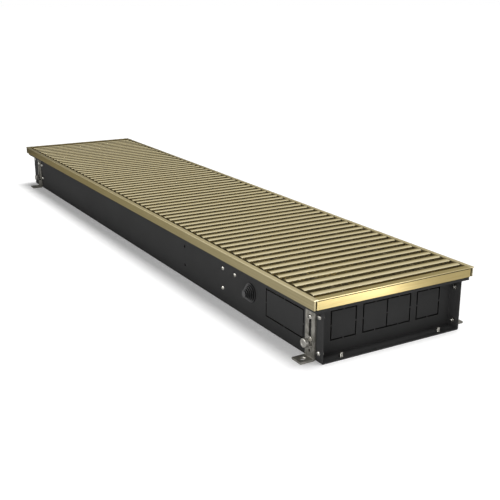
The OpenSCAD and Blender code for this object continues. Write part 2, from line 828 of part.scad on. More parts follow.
module clamp_lock_nuts() {
    color(steel_col) both_sides() at_feet() translate([0, -clamp_head_y, clamp_z])
        hex_nut(clamp_lock_af, clamp_lock_h, clamp_r + thread_gap);
}

module clamp_inner_nuts() {
    color(steel_col) both_sides() at_feet() translate([0, -wall_in, clamp_z])
        hex_nut(clamp_nut_af, clamp_inner_h, clamp_r + thread_gap);
}

module side_screws() {
    shank_l = 2 * sheet_t + fit_gap + nut_h + tip_l;
    color(steel_col) both_sides() at_side_screws() pan_screw(shank_l);
}

module side_nuts() {
    color(steel_col) both_sides() at_side_screws()
        translate([0, 2 * sheet_t + fit_gap, 0]) hex_nut(2 * nut_r, nut_h, screw_r + thread_gap);
}

module end_screws() {
    shank_l = 2 * sheet_t + fit_gap + nut_h + tip_l;
    color(steel_col) both_sides() at_end_screws() pan_screw(shank_l);
}

module end_nuts() {
    color(steel_col) both_sides() at_end_screws()
        translate([0, 2 * sheet_t + fit_gap, 0]) hex_nut(2 * nut_r, nut_h, screw_r + thread_gap);
}

module joining_studs() {
    color(steel_col) both_ends() both_sides()
        translate([wall_end - stud_in, -stud_y, 2 * sheet_t]) cylinder(r = stud_r, h = stud_h);
}

trench_tray();
end_plate_near();
end_plate_far();
frame_side_left();
frame_side_right();
frame_end_near();
frame_end_far();
corner_keys();
cushion_strip_left();
cushion_strip_right();
grille_bars();
grille_wires();
grille_sleeves();
grille_end_stops();
fin_pack();
hairpin_left();
hairpin_right();
return_bend();
support_near();
support_far();
connection_plate();
supply_fitting();
return_fitting();
fitting_lock_nuts();
vent_body();
vent_screw();
cable_grommet();
foot_bracket_near_left();
foot_bracket_near_right();
foot_bracket_far_left();
foot_bracket_far_right();
guide_screw_near_left();
guide_screw_near_right();
guide_screw_far_left();
guide_screw_far_right();
guide_nut_near_left();
guide_nut_near_right();
guide_nut_far_left();
guide_nut_far_right();
clamp_bolts();
clamp_washers();
clamp_lock_nuts();
clamp_inner_nuts();
side_screws();
side_nuts();
end_screws();
end_nuts();
joining_studs();
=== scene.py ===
# %% [markdown]
# # Trench convector heater
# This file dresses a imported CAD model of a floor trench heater: a dark steel tray sunk in a floor,
# a pale gold frame round its top, a grille of cross bars, and a finned heat exchanger below.
# The CAD model comes in first and never changes. It says where everything is, in metres, with
# +X along the trench towards the pipe connections, +Y across it and +Z up.

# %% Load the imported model
import math
import json
import bpy
import bmesh
from mathutils import Matrix, Vector


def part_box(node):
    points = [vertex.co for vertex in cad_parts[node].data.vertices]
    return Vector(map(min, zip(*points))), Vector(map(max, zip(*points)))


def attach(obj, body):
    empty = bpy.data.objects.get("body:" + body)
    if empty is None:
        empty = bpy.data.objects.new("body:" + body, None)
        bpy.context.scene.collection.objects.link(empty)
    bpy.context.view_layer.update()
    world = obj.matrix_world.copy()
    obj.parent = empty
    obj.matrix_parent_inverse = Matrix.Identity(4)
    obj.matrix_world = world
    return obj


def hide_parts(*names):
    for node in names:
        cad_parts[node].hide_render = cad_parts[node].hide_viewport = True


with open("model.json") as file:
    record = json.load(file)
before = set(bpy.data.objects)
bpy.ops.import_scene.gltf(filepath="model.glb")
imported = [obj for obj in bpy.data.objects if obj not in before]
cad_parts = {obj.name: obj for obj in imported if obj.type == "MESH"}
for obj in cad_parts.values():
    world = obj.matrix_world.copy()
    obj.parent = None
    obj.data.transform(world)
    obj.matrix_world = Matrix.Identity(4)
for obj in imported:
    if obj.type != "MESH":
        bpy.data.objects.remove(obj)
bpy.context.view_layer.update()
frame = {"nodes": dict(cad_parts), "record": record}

# %% [markdown]
# ## Tools of the bench
# Sizes are written in millimetres, as on a drawing, and one function turns them to metres.
# An operator acts on all that is selected, so every helper starts by clearing the selection,
# and then picks faces, edges or points by where they are or which way they face.

# %% Units and colours
MM = 0.001


def mm(*values):
    """Millimetres to a point in metres."""
    return Vector([value * MM for value in values])


def colour(code):
    """An sRGB hex colour as the linear RGBA that shaders take."""
    shares = [int(code[i:i + 2], 16) / 255 for i in (1, 3, 5)]
    linear = [s / 12.92 if s <= 0.04045 else ((s + 0.055) / 1.055) ** 2.4 for s in shares]
    return (*linear, 1.0)


# %% Selecting and shaping
def deselect():
    for thing in bpy.context.selected_objects:
        thing.select_set(False)


def only(piece):
    """Selects one object and makes it active."""
    deselect()
    piece.select_set(True)
    bpy.context.view_layer.objects.active = piece


def rename(piece, name):
    piece.name = piece.data.name = name


def fix_place():
    """Puts the selected object's place, turn and size into its mesh."""
    bpy.ops.object.transform_apply(location=True, rotation=True, scale=True)


def extrude(move):
    """Extrudes what is selected by a move in millimetres."""
    bpy.ops.mesh.extrude_region_move(TRANSFORM_OT_translate={"value": mm(*move)})


def add(kind, name, at, **settings):
    """Adds a mesh primitive at a place in millimetres and names it."""
    deselect()
    getattr(bpy.ops.mesh, "primitive_" + kind + "_add")(location=mm(*at), **settings)
    piece = bpy.context.object
    rename(piece, name)
    return piece


def block(name, low, high):
    """A box between two corners in millimetres, with its place in its mesh."""
    middle = [(a + b) / 2 for a, b in zip(low, high)]
    piece = add("cube", name, middle, size=1)
    piece.scale = mm(*[b - a for a, b in zip(low, high)])
    fix_place()
    return piece


def pick(piece, kind, test):
    """In edit mode, selects the points, edges or faces whose middle in millimetres passes a test.
    A face's test also gets its normal."""
    bpy.ops.mesh.select_mode(type=kind)
    bpy.ops.mesh.select_all(action="DESELECT")
    shape = bmesh.from_edit_mesh(piece.data)
    shape.normal_update()
    found = False
    for item in {"VERT": shape.verts, "EDGE": shape.edges, "FACE": shape.faces}[kind]:
        if kind == "VERT":
            passed = test(item.co / MM)
        elif kind == "EDGE":
            passed = test((item.verts[0].co + item.verts[1].co) / 2 / MM)
        else:
            passed = test(item.calc_center_median() / MM, item.normal)
        if passed:
            item.select = True
            found = True
    shape.select_flush_mode()
    bmesh.update_edit_mesh(piece.data)
    assert found, piece.name + ": nothing was found to select"


def edit(piece):
    only(piece)
    bpy.ops.object.mode_set(mode="EDIT")


def leave():
    bpy.ops.object.mode_set(mode="OBJECT")


def grow(piece, near, move):
    """Extrudes the edge whose middle is nearest a point, all in millimetres."""
    target = Vector(near)
    shape = bmesh.from_edit_mesh(piece.data)
    best = min(((e.verts[0].co + e.verts[1].co) / 2 / MM - target).length for e in shape.edges)
    pick(piece, "EDGE", lambda p: (p - target).length < best + 0.001)
    extrude(move)


def grow_all(piece, steps):
    """Grows a section step by step. A step is a point near the edge, and the edge's move."""
    for near, move in steps:
        grow(piece, near, move)


def push(piece, test, move):
    """Extrudes the faces that pass a test."""
    pick(piece, "FACE", test)
    extrude(move)


def quad(name, at, turn, across, along):
    """A flat quad of two sizes in millimetres, open in edit mode."""
    piece = add("plane", name, at, size=1, rotation=turn)
    piece.scale = mm(across, along, 1 / MM)
    fix_place()
    edit(piece)
    return piece


def normals_out():
    """Turns every normal outwards, in edit mode."""
    bpy.ops.mesh.select_all(action="SELECT")
    bpy.ops.mesh.normals_make_consistent(inside=False)


def welded():
    """Joins points that lie on each other, in edit mode, and turns the normals outwards."""
    bpy.ops.mesh.select_all(action="SELECT")
    bpy.ops.mesh.remove_doubles(threshold=0.001 * MM)
    bpy.ops.mesh.normals_make_consistent(inside=False)


def drawn_along(move):
    """Draws a whole section out into a solid, in edit mode."""
    bpy.ops.mesh.select_all(action="SELECT")
    extrude(move)
    normals_out()


def face_towards(piece, near, direction):
    """Makes a sheet's normals agree, with the face nearest a point looking in a direction."""
    normals_out()
    shape = bmesh.from_edit_mesh(piece.data)
    face = min(shape.faces, key=lambda f: (f.calc_center_median() - mm(*near)).length)
    if face.normal.dot(Vector(direction)) < 0:
        bpy.ops.mesh.flip_normals()


def thicken(piece, thickness):
    """Gives a bent sheet its thickness, on the side that its normals point away from."""
    return modify(piece, "SOLIDIFY", thickness=thickness * MM, offset=-1, use_even_offset=True)


def turned(name, rings, sides=32, twist=0.0):
    """A turned piece along +Z: a disc is extruded and resized from ring to ring.
    Each ring is its radius and its height in millimetres."""
    radius, height = rings[0]
    piece = add("circle", name, (0, 0, height), radius=radius * MM, vertices=sides,
                fill_type="NGON", rotation=(0, 0, twist))
    edit(piece)
    bpy.ops.mesh.select_all(action="SELECT")
    for new_radius, new_height in rings[1:]:
        extrude((0, 0, new_height - height))
        share = new_radius / radius
        bpy.ops.transform.resize(value=(share, share, 1), center_override=(0, 0, 0))
        radius, height = new_radius, new_height
    normals_out()
    leave()
    fix_place()
    return piece


def copied(piece, name, matrix):
    """A copy with its own mesh, moved by a matrix. A mirrored copy gets its normals turned out."""
    twin = piece.copy()
    twin.data = piece.data.copy()
    twin.name = twin.data.name = name
    bpy.context.scene.collection.objects.link(twin)
    twin.data.transform(matrix)
    if matrix.determinant() < 0:
        twin.data.flip_normals()
    return twin


def mirrored(piece, name, axis):
    """A mirror image across the middle of the trench: axis 0 is X and 1 is Y."""
    return copied(piece, name, Matrix.Scale(-1, 4, [float(axis == i) for i in range(3)]))


def joined(pieces, name):
    """Joins pieces into the first one."""
    deselect()
    for piece in pieces:
        piece.select_set(True)
    bpy.context.view_layer.objects.active = pieces[0]
    bpy.ops.object.join()
    rename(pieces[0], name)
    return pieces[0]


def modify(piece, kind, **settings):
    """Adds a modifier, sets it and applies it."""
    only(piece)
    modifier = piece.modifiers.new(kind.title(), kind)
    for key, value in settings.items():
        setattr(modifier, key, value)
    bpy.ops.object.modifier_apply(modifier=modifier.name)
    return piece


def combined(piece, other, operation, use_self=False):
    """Cuts, crosses or fuses a piece with another one, which is then thrown away."""
    modify(piece, "BOOLEAN", operation=operation, solver="EXACT", use_self=use_self, object=other)
    bpy.data.objects.remove(other)
    return piece


def cut_with(piece, cutter):
    return combined(piece, cutter, "DIFFERENCE", use_self=True)


def rounded(piece, width, steps=2, angle=40):
    """Takes the sharpness off every edge, as polishing does."""
    modify(piece, "BEVEL", width=width * MM, segments=steps, limit_method="ANGLE",
           angle_limit=math.radians(angle))


def repeated(piece, count, pitch):
    """Repeats a piece along X at a pitch in millimetres."""
    modify(piece, "ARRAY", count=count, use_relative_offset=False, use_constant_offset=True,
           constant_offset_displace=mm(pitch, 0, 0))


def dressed(piece, slot, *nodes, body="casing", paint=None):
    """Finishes a piece: smooth where it is round, painted for its slot, riding on its body."""
    only(piece)
    fix_place()
    bpy.ops.object.shade_smooth_by_angle(angle=math.radians(30))
    # Large flat faces keep their own normals, so a bevel at their edge doesn't bend the reflection
    modify(piece, "WEIGHTED_NORMAL", keep_sharp=True)
    piece.data.materials.clear()
    piece.data.materials.append(paint or SLOT_PAINTS[slot])
    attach(piece, body)
    if nodes:
        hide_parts(*nodes)
    print(piece.name, "faces:", len(piece.data.polygons))


# %% [markdown]
# ## Camera
# The photograph was taken from above the near left corner. The camera's place, tilt and lens were
# worked out beforehand from the heater's corners, so here they are only set.

# %% Camera
camera_data = bpy.data.cameras.new("camera")
camera_data.sensor_width = 36
camera_data.lens = 59.449
camera_data.clip_start = 0.01
camera = bpy.data.objects.new("camera", camera_data)
bpy.context.scene.collection.objects.link(camera)
AZIMUTH, ELEVATION, ROLL = math.radians(59.422), math.radians(17.102), 0.003
camera.matrix_world = (
    Matrix.Translation((1.37322, -0.67329, 0.44092))
    @ Matrix.Rotation(AZIMUTH, 4, "Z")
    @ Matrix.Rotation(math.pi / 2 - ELEVATION, 4, "X")
    @ Matrix.Rotation(ROLL, 4, "Z")
)
bpy.context.scene.camera = camera
bpy.context.scene.view_settings.view_transform = "Standard"

# %% [markdown]
# ## Nodes
# Every material is a small network of nodes. One function adds a node, and another feeds its
# inputs with numbers, colours or other nodes.


# %% Adding a node
def feed(owner, node, inputs):
    """Sets a node's inputs. Each is a value, a socket, or a node, which stands for its first output."""
    for key, value in inputs.items():
        if isinstance(value, bpy.types.Node):
            value = value.outputs[0]
        if isinstance(value, bpy.types.NodeSocket):
            owner.node_tree.links.new(value, node.inputs[key])
        else:
            node.inputs[key].default_value = value


def add_node(owner, kind, inputs=None, **settings):
    """Adds a shader node, sets it and feeds its inputs."""
    made = owner.node_tree.nodes.new("ShaderNode" + kind)
    for key, value in settings.items():
        setattr(made, key, value)
    feed(owner, made, inputs or {})
    return made


def seen_directly(owner):
    """1 for rays from the camera, a glossy surface or a clear one, and 0 for the light's own rays."""
    rays = add_node(owner, "LightPath").outputs
    seen = add_node(owner, "Math", {0: rays["Is Camera Ray"], 1: rays["Is Glossy Ray"]},
                    operation="MAXIMUM")
    return add_node(owner, "Math", {0: seen, 1: rays["Is Transmission Ray"]}, operation="MAXIMUM")


# %% [markdown]
# ## Stage and light
# A product photographer sets the heater on a white table with a white sheet behind. The white
# comes from the table's own colour as the camera, and the metal's reflections, see it.
# A wide, far lamp lights the heater from above. Two soft boxes only make highlights: a small strip
# in front of the near end, and a box high on the left for the screws, bends and steps. A dark card
# behind the far end, out of the picture, keeps the bars there from reflecting nothing but white.
# A weak fill lamp opens the shadow round the near left foot.

# %% World
world = bpy.data.worlds.new("studio")
bpy.context.scene.world = world
world.use_nodes = True
world.node_tree.nodes.clear()
fill_light = add_node(world, "Background", {"Color": (1, 1, 1, 1), "Strength": 0.2})
white_sheet = add_node(world, "Background", {"Color": (1, 1, 1, 1), "Strength": 1.0})
blend = add_node(world, "MixShader", {0: seen_directly(world), 1: fill_light, 2: white_sheet})
add_node(world, "OutputWorld", {"Surface": blend})

# %% Table
table = add("plane", "table", (0, 0, -0.1), size=60)
table_paint = bpy.data.materials.new("white_table")
table_paint.use_nodes = True
table_paint.node_tree.nodes.clear()
sheet_colour = add_node(table_paint, "BsdfDiffuse", {"Color": (0.8, 0.8, 0.8, 1)})
glow_strength = add_node(table_paint, "Math", {0: seen_directly(table_paint), 1: 0.24},
                         operation="MULTIPLY")
glow = add_node(table_paint, "Emission", {"Color": (1, 1, 1, 1), "Strength": glow_strength})
both = add_node(table_paint, "AddShader", {0: sheet_colour, 1: glow})
add_node(table_paint, "OutputMaterial", {"Surface": both})
table.data.materials.append(table_paint)


# %% Lamps
def soft_box(name, at, aim, width, height, power):
    """A rectangular lamp at a place, aimed at a point, both in metres."""
    lamp = bpy.data.lights.new(name, "AREA")
    lamp.shape = "RECTANGLE"
    lamp.size, lamp.size_y, lamp.energy = width, height, power
    holder = bpy.data.objects.new(name, lamp)
    bpy.context.scene.collection.objects.link(holder)
    direction = Vector(aim) - Vector(at)
    holder.matrix_world = (Matrix.Translation(at)
                           @ direction.to_track_quat("-Z", "Y").to_matrix().to_4x4())
    return holder


# The big lamp is so far away that it lights the whole table alike, so it is a sun with a wide disc
sun = bpy.data.lights.new("lamp_above", "SUN")
sun.energy = 2.9
sun.angle = math.radians(26)
sun_holder = bpy.data.objects.new("lamp_above", sun)
bpy.context.scene.collection.objects.link(sun_holder)
sun_holder.matrix_world = Vector((-0.05, -0.2, -1.0)).to_track_quat("-Z", "Y").to_matrix().to_4x4()
sun_holder.visible_glossy = False

# These two only show in reflections: diffuse surfaces get nothing from them
near_box = soft_box("lamp_near_end", (0.80, 0.045, 0.05), (0.609, -0.08, 0.083), 0.18, 0.15, 0.42)
high_box = soft_box("lamp_left_high", (0.30, -1.60, 1.50), (0.1, -0.115, 0.05), 1.8, 0.9, 36)
for lamp in (near_box, high_box):
    lamp.visible_camera = False
    lamp.visible_diffuse = False
# A weak fill lamp opens the shadow round the near left foot
soft_box("lamp_at_foot", (0.95, -0.80, 0.45), (0.58, -0.13, 0.0), 0.4, 0.4, 1.7)

# %% Dark card
card = add("plane", "dark_card", (-1000, 0, 140), size=1, rotation=(0, math.pi / 2, 0))
card.scale = (0.29, 1.4, 1)
card_paint = bpy.data.materials.new("black_card")
card_paint.use_nodes = True
feed(card_paint, card_paint.node_tree.nodes["Principled BSDF"],
     {"Base Color": colour("#1c1a17"), "Roughness": 0.9})
card.data.materials.append(card_paint)
card.visible_camera = False
card.visible_diffuse = False
card.visible_shadow = False

# %% [markdown]
# ## Finishes
# The tray is steel sheet with a dark grey powder coat. Powder melts into a skin with a very fine
# orange-peel grain, so its highlights are soft and broken.


# %% Powder coat
def new_material(name, code, metallic, roughness):
    """A material with one Principled shader, and its object coordinates."""
    material = bpy.data.materials.new(name)
    material.use_nodes = True
    shader = material.node_tree.nodes["Principled BSDF"]
    feed(material, shader, {"Base Color": colour(code), "Metallic": metallic,
                            "Roughness": roughness})
    place = add_node(material, "TexCoord").outputs["Object"]
    return material, shader, place


def per_mm(size):
    """The scale of a pattern whose grains are this many millimetres apart."""
    return 1 / (size * MM)


INSIDE_X, INSIDE_Y = 587.85, 114.85
powder_coat, shader, place = new_material("powder_coat_dark_grey", "#424242", 0.0, 0.7)
patch = add_node(powder_coat, "TexNoise", {"Vector": place, "Scale": per_mm(70), "Detail": 3})
tone = add_node(powder_coat, "ValToRGB", {"Fac": patch})
tone.color_ramp.elements[0].color = colour("#3e3e3e")
tone.color_ramp.elements[1].color = colour("#464646")
grain = add_node(powder_coat, "TexNoise", {"Vector": place, "Scale": per_mm(0.9), "Detail": 2})
relief = add_node(powder_coat, "Bump", {"Height": grain, "Strength": 0.25, "Distance": 0.05 * MM})
# Inside the trench the sheet is painted near black, a painted shade where the walls and the grille keep
# the light out, so that only the bars catch the eye from above
sides = add_node(powder_coat, "SeparateXYZ", {"Vector": place})
walls = []
for axis, limit in (("X", INSIDE_X), ("Y", INSIDE_Y)):
    distance = add_node(powder_coat, "Math", {0: sides.outputs[axis]}, operation="ABSOLUTE")
    walls.append(add_node(powder_coat, "Math", {0: distance, 1: limit * MM}, operation="LESS_THAN"))
inside = add_node(powder_coat, "Math", {0: walls[0], 1: walls[1]}, operation="MULTIPLY")
coat = add_node(powder_coat, "Mix", {"Factor": inside, 6: tone, 7: colour("#0f0f0f")},
                data_type="RGBA")
feed(powder_coat, shader, {"Base Color": coat.outputs[2], "Normal": relief,
                           "Specular IOR Level": 0.03})


# %% [markdown]
# The frame and the bars are extruded aluminium, matt-etched and anodised pale gold. Drawing the
# metal through its die leaves faint straight lines along the profile, so the pattern is a noise
# that is stretched along it.

# %% Anodised aluminium
# The lip's underside is at 88.4, and the shadow line is a groove just below it, past X 607.3
LIP_START = 88.45
LINE_X, LINE_MIDDLE, LINE_HALF = 607.3, 87.85, 0.56


def anodised(name, dark, light, run_axis, roughness, metallic, edge="#6e654d", lip=None,
             shadow_line=False):
    """Anodised aluminium with draw lines along one axis: 0 is X, 1 is Y. Edge is the tone at a
    grazing view, lip holds two lighter tones for the top lip as painted light where it faces up,
    and with shadow_line the groove under the lip is painted near black as painted shade."""
    material, shader, place = new_material(name, light, metallic, roughness)
    stretch = [per_mm(0.7)] * 3
    stretch[run_axis] = per_mm(60)
    lines = add_node(material, "Mapping", {"Vector": place, "Scale": stretch})
    drawn = add_node(material, "TexNoise", {"Vector": lines, "Scale": 1.0, "Detail": 3})
    tones = []
    for low_tone, high_tone in [(dark, light)] + ([lip] if lip else []):
        tone = add_node(material, "ValToRGB", {"Fac": drawn})
        tone.color_ramp.elements[0].position = 0.3
        tone.color_ramp.elements[0].color = colour(low_tone)
        tone.color_ramp.elements[1].position = 0.7
        tone.color_ramp.elements[1].color = colour(high_tone)
        tones.append(tone)
    base = tones[0]
    if lip or shadow_line:
        sides = add_node(material, "SeparateXYZ", {"Vector": place}).outputs
    # The top lip is painted lighter than the face below it, a painted highlight where the top faces the
    # light
    if lip:
        on_lip = add_node(material, "Math", {0: sides["Z"], 1: LIP_START * MM},
                          operation="GREATER_THAN")
        base = add_node(material, "Mix", {"Factor": on_lip, 6: base, 7: tones[1]},
                        data_type="RGBA").outputs[2]
    if shadow_line:
        # The groove under the lip is painted near black, a painted shade where the lip shades it
        distance = add_node(material, "Math", {0: sides["X"]}, operation="ABSOLUTE")
        outside = add_node(material, "Math", {0: distance, 1: LINE_X * MM}, operation="GREATER_THAN")
        at_line = add_node(material, "Math", {0: sides["Z"], 1: LINE_MIDDLE * MM, 2: LINE_HALF * MM},
                           operation="COMPARE")
        painted_groove_shade = add_node(material, "Math", {0: outside, 1: at_line}, operation="MULTIPLY")
        base = add_node(material, "Mix", {"Factor": painted_groove_shade, 6: base, 7: colour("#1a160d")},
                        data_type="RGBA").outputs[2]
    relief = add_node(material, "Bump", {"Height": drawn, "Strength": 0.15, "Distance": 0.02 * MM})
    feed(material, shader, {"Base Color": base, "Normal": relief, "Specular Tint": colour(edge)})
    return material


# The side and end profiles are one anodising; their different tones are painted light and shade, set to
# how light falls on each face
gold_side = anodised("anodised_gold_along_side", "#8f8668", "#9d9376", 0, 0.28, 0.8,
                     edge="#887d60", lip=("#c4b996", "#d4caa8"))
gold_end = anodised("anodised_gold_along_end", "#9d8d60", "#ad9d6e", 1, 0.32, 0.85,
                    lip=("#b0a37a", "#bdb087"), shadow_line=True)
gold_bar = anodised("anodised_gold_bar", "#dacea8", "#e8ddba", 1, 0.16, 0.9)

# %% [markdown]
# The small parts share one kind of finish: two tones in patches, a roughness that follows them, and
# a fine grain. The size of the patches says what it is: crystals of zinc on galvanised sheet,
# dull and bright spots on plated screws, handling marks on copper and brass, grit on rubber.


# %% Other metals, rubber and plastic
def mottled(name, dark, light, patch_mm, grain_mm, grain_depth, metallic, rough_low, rough_high,
            crystals=False, edge="#ffffff"):
    """A finish with two tones in patches of one size and a grain of another, in millimetres."""
    material, shader, place = new_material(name, light, metallic, rough_high)
    if crystals:
        patch = add_node(material, "TexVoronoi", {"Vector": place, "Scale": per_mm(patch_mm)})
        share = add_node(material, "SeparateColor", {0: patch.outputs["Color"]})
    else:
        share = add_node(material, "TexNoise", {"Vector": place, "Scale": per_mm(patch_mm),
                                                "Detail": 4})
    tone = add_node(material, "ValToRGB", {"Fac": share})
    tone.color_ramp.elements[0].position = 0.25
    tone.color_ramp.elements[0].color = colour(dark)
    tone.color_ramp.elements[1].position = 0.75
    tone.color_ramp.elements[1].color = colour(light)
    gloss = add_node(material, "MapRange", {"Value": share, "To Min": rough_high,
                                            "To Max": rough_low})
    grain = add_node(material, "TexNoise", {"Vector": place, "Scale": per_mm(grain_mm), "Detail": 2})
    relief = add_node(material, "Bump", {"Height": grain, "Strength": 0.3,
                                         "Distance": grain_depth * MM})
    feed(material, shader, {"Base Color": tone, "Roughness": gloss, "Normal": relief,
                            "Specular Tint": colour(edge)})
    return material


zinc_plated = mottled("bright_zinc_plate", "#83817c", "#b4b2ab", 2.5, 0.5, 0.02, 0.85, 0.12, 0.22,
                      edge="#7a7976")
dull_zinc = mottled("dull_zinc_plate", "#8b8984", "#a3a19b", 3, 0.6, 0.03, 0.8, 0.36, 0.5,
                    edge="#7a7976")
galvanised = mottled("galvanised_sheet", "#7b7973", "#918f88", 5, 0.8, 0.03, 0.7, 0.38, 0.5,
                     crystals=True, edge="#6a6966")
fin_sheet = mottled("rolled_aluminium_fin", "#b2b6b9", "#cdd0d2", 14, 0.7, 0.02, 0.85, 0.32, 0.45)
copper = mottled("drawn_copper_tube", "#9c5b3a", "#c07c52", 18, 0.6, 0.02, 0.9, 0.25, 0.42)
brass = mottled("turned_brass", "#a08340", "#c4a758", 6, 0.5, 0.015, 0.9, 0.22, 0.36)
rubber = mottled("black_rubber", "#0b0b0b", "#131313", 7, 0.4, 0.02, 0.0, 0.34, 0.46)
sleeve_plastic = mottled("dark_moulded_plastic", "#241f19", "#302a22", 9, 0.5, 0.02, 0.0, 0.38, 0.55)

SLOT_PAINTS = {
    "tray_paint": powder_coat, "gold_anodised": gold_side, "bar_anodised": gold_bar,
    "dark_rubber": rubber, "sleeve_plastic": sleeve_plastic, "bright_steel": zinc_plated,
    "galvanised": galvanised, "fin_aluminium": fin_sheet, "copper_tube": copper,
    "fitting_brass": brass,
}
for part in frame["record"]["subparts"]:
    node_object = frame["nodes"][part["node"]]
    node_object.data.materials.clear()
    node_object.data.materials.append(SLOT_PAINTS[part["material_slot"]])
for name in ("frame_end_near", "frame_end_far"):
    frame["nodes"][name].data.materials[0] = gold_end

# %% [markdown]
# ## Trench tray
# The real tray is one steel sheet, 1.2 mm thick, folded lengthwise: a floor, two walls, and a flange
# on each wall whose edge is turned down. It could be drawn as boxes, but a folded sheet has round
# bends, so only its inner and upper face is drawn, strip by strip. The bends are bevelled, the
# bend on the outer side of the sheet a sheet's thickness wider, and Solidify gives the thickness.

# %% Tray sheet
SHEET = 1.2
TRENCH_END = 606.0
WALL_IN = 113.8
WALL_OUT = 115.0
FLANGE_TOP = 76.0
LIP_EDGE = 127.0
LIP_LOW = 71.0


def round_bends(piece, places, radius, steps=4):
    """Bevels the straight folds that run through some places."""
    pick(piece, "EDGE", lambda p: any((p - Vector(place)).length < 0.05 for place in places))
    bpy.ops.mesh.bevel(offset=radius * MM, segments=steps, affect="EDGES")


tray = quad("tray", (0, 0, SHEET), (0, 0, 0), 2 * TRENCH_END, 2 * WALL_IN)
for side in (-1, 1):
    grow(tray, (0, side * WALL_IN, SHEET), (0, 0, FLANGE_TOP - SHEET))
    grow(tray, (0, side * WALL_IN, FLANGE_TOP), (0, side * (LIP_EDGE - WALL_IN), 0))
    grow(tray, (0, side * LIP_EDGE, FLANGE_TOP), (0, 0, LIP_LOW - FLANGE_TOP))
face_towards(tray, (0, 0, SHEET), (0, 0, 1))
round_bends(tray, [(0, side * WALL_IN, SHEET) for side in (-1, 1)], 0.8)
round_bends(tray, [(0, side * WALL_IN, FLANGE_TOP) for side in (-1, 1)], 2.0)
round_bends(tray, [(0, side * LIP_EDGE, FLANGE_TOP) for side in (-1, 1)], 2.0)
leave()
thicken(tray, SHEET)
tray_low, tray_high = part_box("trench_tray")
print("tray, CAD:", tray_low, tray_high)

# %% [markdown]
# Knock-outs are panels that the punch left hanging on short bridges. On the real sheet they are
# narrow broken slots. Each slot is a thin block, and all the blocks and holes cut the sheet at once.

# %% Punched slots and holes
SLOT_W = 2.0
BRIDGE = 1.8
PUNCH = 6.0
NEAR_FOOT_X, FAR_FOOT_X = 581.8, -559.8
SUPPORT_XS = (349.2, -545.5)
PLATE_SCREW_X = 385.4
SPARE_X = 221.0
END_SCREW_X = 597.6
END_SCREW_ZS = (12.4, 61)
UPPER_Z, LOWER_Z = 54.0, 23.0
HOLE_R = 2.2
CLAMP_Z = 23.5
WALL_SLOT_ZS = (37, 57)
GROMMET_X, GROMMET_Z = 431, 41
SIDE_KNOCK_X, SIDE_KNOCK_Z = 472.5, 20.5
SIDE_KNOCK_L, SIDE_KNOCK_H = 90.5, 39


def knock_out(name, corner, across, up, width, height):
    """Cutters for a knock-out's broken slots. Across and up are unit vectors of its sheet."""
    across, up = Vector(across), Vector(up)
    through = across.cross(up)
    half = SLOT_W / 2
    cutters = []

    def slot(u0, u1, v0, v1):
        low = Vector(corner) + across * u0 + up * v0 - through * PUNCH
        high = Vector(corner) + across * u1 + up * v1 + through * PUNCH
        ends = [sorted(pair) for pair in zip(low, high)]
        cutters.append(block(name, [e[0] for e in ends], [e[1] for e in ends]))

    for v in (0, height):
        slot(-half, width / 2 - BRIDGE / 2, v - half, v + half)
        slot(width / 2 + BRIDGE / 2, width + half, v - half, v + half)
    for u in (0, width):
        slot(u - half, u + half, half, height / 2 - BRIDGE / 2)
        slot(u - half, u + half, height / 2 + BRIDGE / 2, height - half)
    return cutters


def pin(name, at, axis, radius, length, sides=24):
    """A round cutter centred on a place, along an axis."""
    turn = Vector(axis).to_track_quat("Z", "Y").to_euler()
    piece = add("cylinder", name, at, radius=radius * MM, depth=length * MM, vertices=sides,
                rotation=turn)
    fix_place()
    return piece


def wall_hole(x, y, z, radius=HOLE_R, length=PUNCH):
    """A cutter for a round hole through a side wall."""
    return pin("hole", (x, y, z), (0, 1, 0), radius, length)


cutters = knock_out("tray_cutters", (SIDE_KNOCK_X, -WALL_OUT, SIDE_KNOCK_Z), (1, 0, 0), (0, 0, 1),
                    SIDE_KNOCK_L, SIDE_KNOCK_H)
for side in (-1, 1):
    y = side * WALL_OUT
    for x in SUPPORT_XS + (SPARE_X,):
        for z in (UPPER_Z, LOWER_Z):
            cutters.append(wall_hole(x, y, z))
    cutters.append(wall_hole(PLATE_SCREW_X, y, UPPER_Z))
    for x in (-END_SCREW_X, END_SCREW_X):
        for z in END_SCREW_ZS:
            cutters.append(wall_hole(x, y, z))
    for x in (NEAR_FOOT_X, FAR_FOOT_X):
        cutters.append(wall_hole(x, y, CLAMP_Z, 2.7))
        cutters.append(block("slot", (x - HOLE_R, y - PUNCH / 2, WALL_SLOT_ZS[0]),
                             (x + HOLE_R, y + PUNCH / 2, WALL_SLOT_ZS[1])))
        for z in WALL_SLOT_ZS:
            cutters.append(wall_hole(x, y, z, length=PUNCH + 0.2))
cutters.append(wall_hole(GROMMET_X, -WALL_OUT, GROMMET_Z, 11))
cut_with(tray, joined(cutters, "tray_cutters"))
rounded(tray, 0.2, steps=1, angle=60)
dressed(tray, "tray_paint", "trench_tray")

# %% [markdown]
# ## End plates
# An end plate is a shallow pan of the same sheet that sits back from the tray's end. Its flanges
# stand outwards, the top one under the frame with its edge turned down. The near plate is made, and
# the far one is its mirror image.

